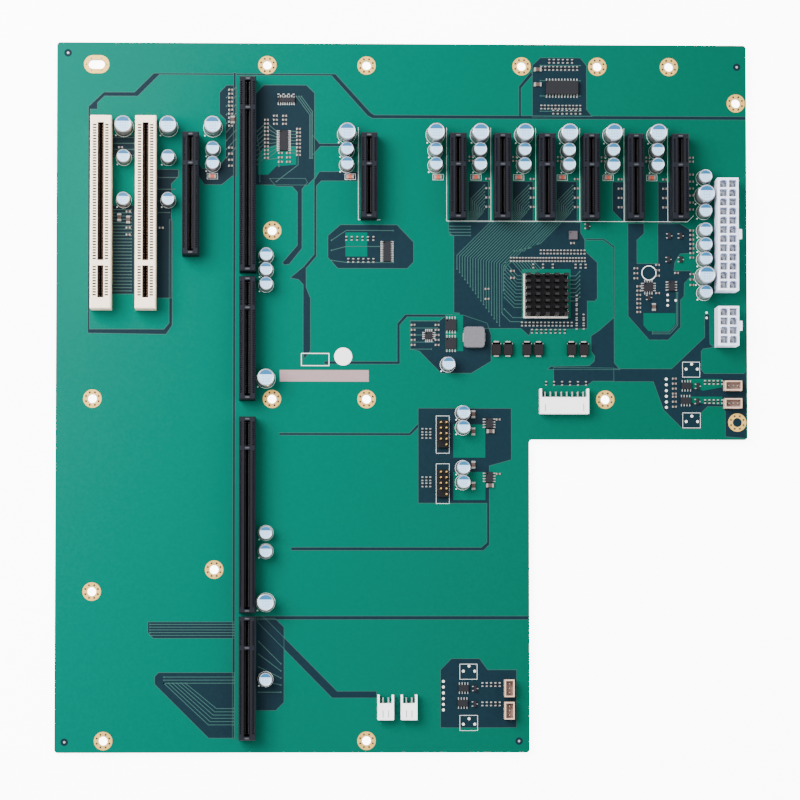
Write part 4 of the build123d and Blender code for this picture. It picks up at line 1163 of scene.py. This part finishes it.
LARGE_CHIPS = [
    ((32.3, -8.0), 90), ((32.3, -15.9), 90), ((32.3, -31.2), 90), ((32.3, -40.8), 90), ((40.2, -15.8), 0),
    ((39.9, -40.6), 0), ((62.2, 150.7), 0), ((62.2, 143.8), 0), ((-77.9, 126.9), 90), ((115.3, 41.4), 90),
    ((-129.6, 81.8), 90), ((-125.5, 80.8), 90),
]
SENSOR_PADS = [
    (120.9, 8.3), (120.9, 5.7), (120.9, 3.0), (120.9, 0.4), (120.9, -2.2), (120.9, -4.7), (130.0, 12.9),
    (132.6, 15.2), (135.2, 12.9), (130.0, -11.2), (132.6, -8.7), (135.2, -11.2),
]
SENSOR_ROWS = [((138.7, 6.8), (146.6, 6.8), 5), ((138.7, -2.0), (146.6, -2.0), 5)]
SENSOR_TRANSISTORS = [(135.4, 5.0), (135.2, -2.0)]
SENSOR_CHIPS = [(130.1, 5.2), (129.7, -1.6)]
SENSOR_SQUARES = [((128.4, 16.1), (136.3, 9.2)), ((128.4, -7.2), (136.5, -14.1))]
# From the right arm's sensor circuit to the one at the lower right
SECOND_SENSOR = (-102.4, -138.2)
OTHER_PADS = [(139.6, 38.9), (139.6, 36.5), (121.7, 47.0), (121.7, 44.5), (121.7, 42.2), (125.4, 44.5)]
TRANSISTORS = [(122.5, 74.2), (127.8, 74.2), (122.1, 63.3), (127.8, 63.3), (113.1, 45.8), (84.9, 78.5)]
LAMPS = [(-87.1, 100.9), (-24.0, 100.9), (16.3, 100.9), (33.7, 100.9), (53.3, 100.9), (73.4, 100.9), (94.5, 100.9),
         (114.6, 100.9)]


def chip_part(length, width, height):
    """A two-ended chip part, with its ends and pads, lying along X."""
    def build(bm):
        end = length * 0.22
        block(bm, (-length / 2 + end * 0.6, -width / 2, FACE + 0.05), (length / 2 - end * 0.6, width / 2, FACE + height), 0)
        for side in (-1, 1):
            a, b = side * (length / 2 - end), side * length / 2
            block(bm, (min(a, b), -width / 2 - 0.02, FACE + 0.03), (max(a, b), width / 2 + 0.02, FACE + height + 0.03), 1)
            pad = side * (length / 2 + 0.2)
            block(bm, (min(a, pad), -width / 2 - 0.05, FACE), (max(a, pad), width / 2 + 0.05, FACE + 0.06), 2)
    return build


def transistor(bm):
    """A small transistor on three legs."""
    block(bm, (-0.7, -1.45, FACE + 0.1), (0.7, 1.45, FACE + 1.0), 0, 0.08)
    for x, y in ((-1.0, 0.95), (-1.0, -0.95), (1.0, 0.0)):
        block(bm, (x - 0.4, y - 0.22, FACE), (x + 0.4, y + 0.22, FACE + 0.3), 1)


def eight_leg_chip(bm):
    """A small moulded chip with four legs on its upper and lower sides."""
    block(bm, (-2.3, -1.5, FACE + 0.1), (2.3, 1.5, FACE + 1.4), 0, 0.1)
    for column in (-1.9, -0.63, 0.63, 1.9):
        for side in (-1, 1):
            near, far = sorted((side * 1.45, side * 2.6))
            block(bm, (column - 0.2, near, FACE), (column + 0.2, far, FACE + 0.35), 1)


class BACKPLANE_OT_sensor_circuits(bpy.types.Operator):
    """Builds the two sensor circuits beside the small shrouded headers, and the other small chips"""
    bl_idname = "backplane.sensor_circuits"
    bl_label = "Sensor circuits"

    def execute(self, context):
        leg = template_of(transistor)
        chip = template_of(eight_leg_chip)
        dark = template_of(chip_part(1.7, 0.8, 0.5))
        legs, chips, rows, pads, lines_bm = (bmesh.new() for _ in range(5))
        for dx, dy in ((0, 0), SECOND_SENSOR):
            stamp(legs, leg, [(x + dx, y + dy, 0) for x, y in SENSOR_TRANSISTORS])
            stamp(chips, chip, [(x + dx, y + dy, 0) for x, y in SENSOR_CHIPS])
            for start, end, count in SENSOR_ROWS:
                stamp(rows, dark, [(x + dx, y + dy, 90) for x, y in row_of(start, end, count)])
            for x, y in SENSOR_PADS:
                disc(pads, x + dx, y + dy, FACE, FACE + 0.1, 0.65, 12)
            for (left, high), (right, low) in SENSOR_SQUARES:
                outline = [(left, low), (right, low), (right, high), (left, high)]
                ribbon(lines_bm, [(x + dx, y + dy) for x, y in outline], 0.14, FACE, FACE + 0.055, closed=True)
        stamp(legs, leg, [(x, y, 0) for x, y in TRANSISTORS])
        for x, y in OTHER_PADS:
            disc(pads, x, y, FACE, FACE + 0.1, 0.55, 12)
        x, y = (113.1, 57.1)
        ring(lines_bm, x, y, 3.1, 3.4, FACE, FACE + 0.055, 32)
        keep("sensor_transistors", legs, [moulding(), tin()], "chip_body")
        keep("sensor_chips", chips, [moulding(), tin()], "chip_body")
        keep("sensor_resistors", rows, [moulding(), tin(), tin()], "chip_body")
        keep("open_pads", pads, [finish("tinned_pad", (0.7, 0.7, 0.66), 0.4, 0.3)], "tinned_metal")
        keep("sensor_outlines", lines_bm, [ink()], "board")
        return {"FINISHED"}


class BACKPLANE_OT_chip_parts(bpy.types.Operator):
    """Scatters the chip resistors, capacitors and lamps at their places"""
    bl_idname = "backplane.chip_parts"
    bl_label = "Chip parts"

    def execute(self, context):
        brown = finish("ceramic_brown", (0.05, 0.026, 0.02), 0.5, 0, 900, 0.2)
        dark = finish("resistor_black", (0.006, 0.0055, 0.007), 0.5, 0, 900, 0.2, shine=0.15)
        amber = finish("lamp_amber", (0.5, 0.07, 0.025), 0.35, 0, 900, 0.1)
        bright = finish("end_plating", (0.22, 0.22, 0.21), 0.35, 0.4, 900, 0.15)
        small = template_of(chip_part(1.7, 0.8, 0.5))
        large = template_of(chip_part(3.2, 1.7, 1.1))
        bm = bmesh.new()
        for start, end, count in UPRIGHT_ROWS:
            stamp(bm, small, [(x, y, 90) for x, y in row_of(start, end, count)])
        keep("upright_resistors", bm, [dark, bright, tin()], "chip_body")
        bm = bmesh.new()
        for start, end, count in FLAT_ROWS:
            stamp(bm, small, [(x, y, 0) for x, y in row_of(start, end, count)])
        keep("level_capacitors", bm, [brown, bright, tin()], "chip_body")
        bm = bmesh.new()
        stamp(bm, large, [(x, y, turn) for (x, y), turn in LARGE_CHIPS])
        keep("large_chip_capacitors", bm, [brown, bright, tin()], "chip_body")
        bm = bmesh.new()
        stamp(bm, large, [(x, y, 0) for x, y in LAMPS])
        for x, y in LAMPS:
            outline = [(x - 2.4, y - 1.3), (x + 2.4, y - 1.3), (x + 2.4, y + 1.3), (x - 2.4, y + 1.3)]
            ribbon(bm, outline, 0.13, FACE, FACE + 0.05, 3, closed=True)
        keep("standby_lamps", bm, [amber, bright, tin(), ink()], "chip_body")
        return {"FINISHED"}


class BACKPLANE_OT_labels(bpy.types.Operator):
    """Lays the blank stickers and the plain printed box"""
    bl_idname = "backplane.labels"
    bl_label = "Blank labels"

    def execute(self, context):
        paper = finish("label_paper", (0.85, 0.84, 0.86), 0.55, 0, 600, 0.04)
        pink = finish("strip_paper", (0.26, 0.17, 0.18), 0.55, 0, 600, 0.08)
        bm = bmesh.new()
        x, y = (-27.2, 18.3)
        disc(bm, x, y, FACE, FACE + 0.08, 4.1, 32, 0)
        (left, high), (right, low) = (-56.2, 12.1), (-15.5, 6.8)
        plate(bm, [(left, low), (right, low), (right, high), (left, high)], FACE, FACE + 0.08, 1)
        keep("blank_labels", bm, [paper, pink], "white_housing")
        bm = bmesh.new()
        (left, high), (right, low) = (-46.3, 19.7), (-33.7, 14.1)
        ribbon(bm, [(left, low), (right, low), (right, high), (left, high)], 0.3, FACE, FACE + 0.04, closed=True)
        keep("printed_box", bm, [ink()], "board")
        return {"FINISHED"}


class BACKPLANE_OT_stage(bpy.types.Operator):
    """Sets the pale floor, the soft lights and the camera"""
    bl_idname = "backplane.stage"
    bl_label = "Stage"

    def execute(self, context):
        scene = context.scene
        bpy.ops.mesh.primitive_plane_add(size=8)
        floor = context.object
        floor.name = "studio_floor"
        floor_finish = finish("pale_floor", (0.93, 0.93, 0.94), 0.9, 0, 3, 0.01, 0.0, light=8.0)
        floor_finish.node_tree.nodes["Principled BSDF"].inputs["Emission Color"].default_value = (1, 1, 1, 1)
        floor.data.materials.append(floor_finish)
        world = bpy.data.worlds.new("studio")
        world.use_nodes = True
        world.node_tree.nodes["Background"].inputs["Color"].default_value = (1, 1, 1, 1)
        world.node_tree.nodes["Background"].inputs["Strength"].default_value = 1.25
        scene.world = world
        for name, place, size, power in (("key", (-0.6, 0.35, 0.9), 0.8, 40), ("fill", (0.9, -0.2, 1.2), 1.0, 8)):
            data = bpy.data.lights.new(name, "AREA")
            data.size = size
            data.energy = power
            lamp = bpy.data.objects.new(name, data)
            lamp.location = place
            lamp.rotation_euler = (-Vector(place)).to_track_quat("-Z", "Y").to_euler()
            scene.collection.objects.link(lamp)
        self.camera(scene)
        return {"FINISHED"}

    def camera(self, scene):
        data = bpy.data.cameras.new("camera")
        data.sensor_width = 36
        data.lens = sizes().camera_lens
        data.shift_x, data.shift_y = 0.035, 0.09
        camera = bpy.data.objects.new("camera", data)
        camera.location = sizes().camera_place
        camera.rotation_euler = sizes().camera_turn
        scene.collection.objects.link(camera)
        scene.camera = camera


OPERATORS = [
    BACKPLANE_OT_board, BACKPLANE_OT_ink, BACKPLANE_OT_screw_holes, BACKPLANE_OT_slots,
    BACKPLANE_OT_capacitors, BACKPLANE_OT_power_headers, BACKPLANE_OT_small_headers,
    BACKPLANE_OT_heatsink, BACKPLANE_OT_chips, BACKPLANE_OT_power_parts, BACKPLANE_OT_sensor_circuits,
    BACKPLANE_OT_chip_parts, BACKPLANE_OT_labels, BACKPLANE_OT_stage,
]


class BACKPLANE_PT_sidebar(bpy.types.Panel):
    """Lists the backplane's settings and operators"""
    bl_label = "Backplane"
    bl_idname = "BACKPLANE_PT_sidebar"
    bl_space_type = "VIEW_3D"
    bl_region_type = "UI"
    bl_category = "Backplane"

    def draw(self, context):
        for group in (context.scene.backplane_finishes, context.scene.backplane_sizes):
            box = self.layout.box()
            for name in group.bl_rna.properties.keys():
                if name not in ("rna_type", "name"):
                    box.prop(group, name)
        for operator in OPERATORS:
            self.layout.operator(operator.bl_idname)


CLASSES = [BackplaneFinishes, BackplaneSizes, *OPERATORS, BACKPLANE_PT_sidebar]


def register():
    for item in CLASSES:
        bpy.utils.register_class(item)
    bpy.types.Scene.backplane_finishes = bpy.props.PointerProperty(type=BackplaneFinishes)
    bpy.types.Scene.backplane_sizes = bpy.props.PointerProperty(type=BackplaneSizes)


def unregister():
    del bpy.types.Scene.backplane_sizes
    del bpy.types.Scene.backplane_finishes
    for item in reversed(CLASSES):
        bpy.utils.unregister_class(item)


def main():
    register()
    for operator in OPERATORS:
        group, name = operator.bl_idname.split(".")
        getattr(getattr(bpy.ops, group), name)()


if __name__ == "__main__":
    main()
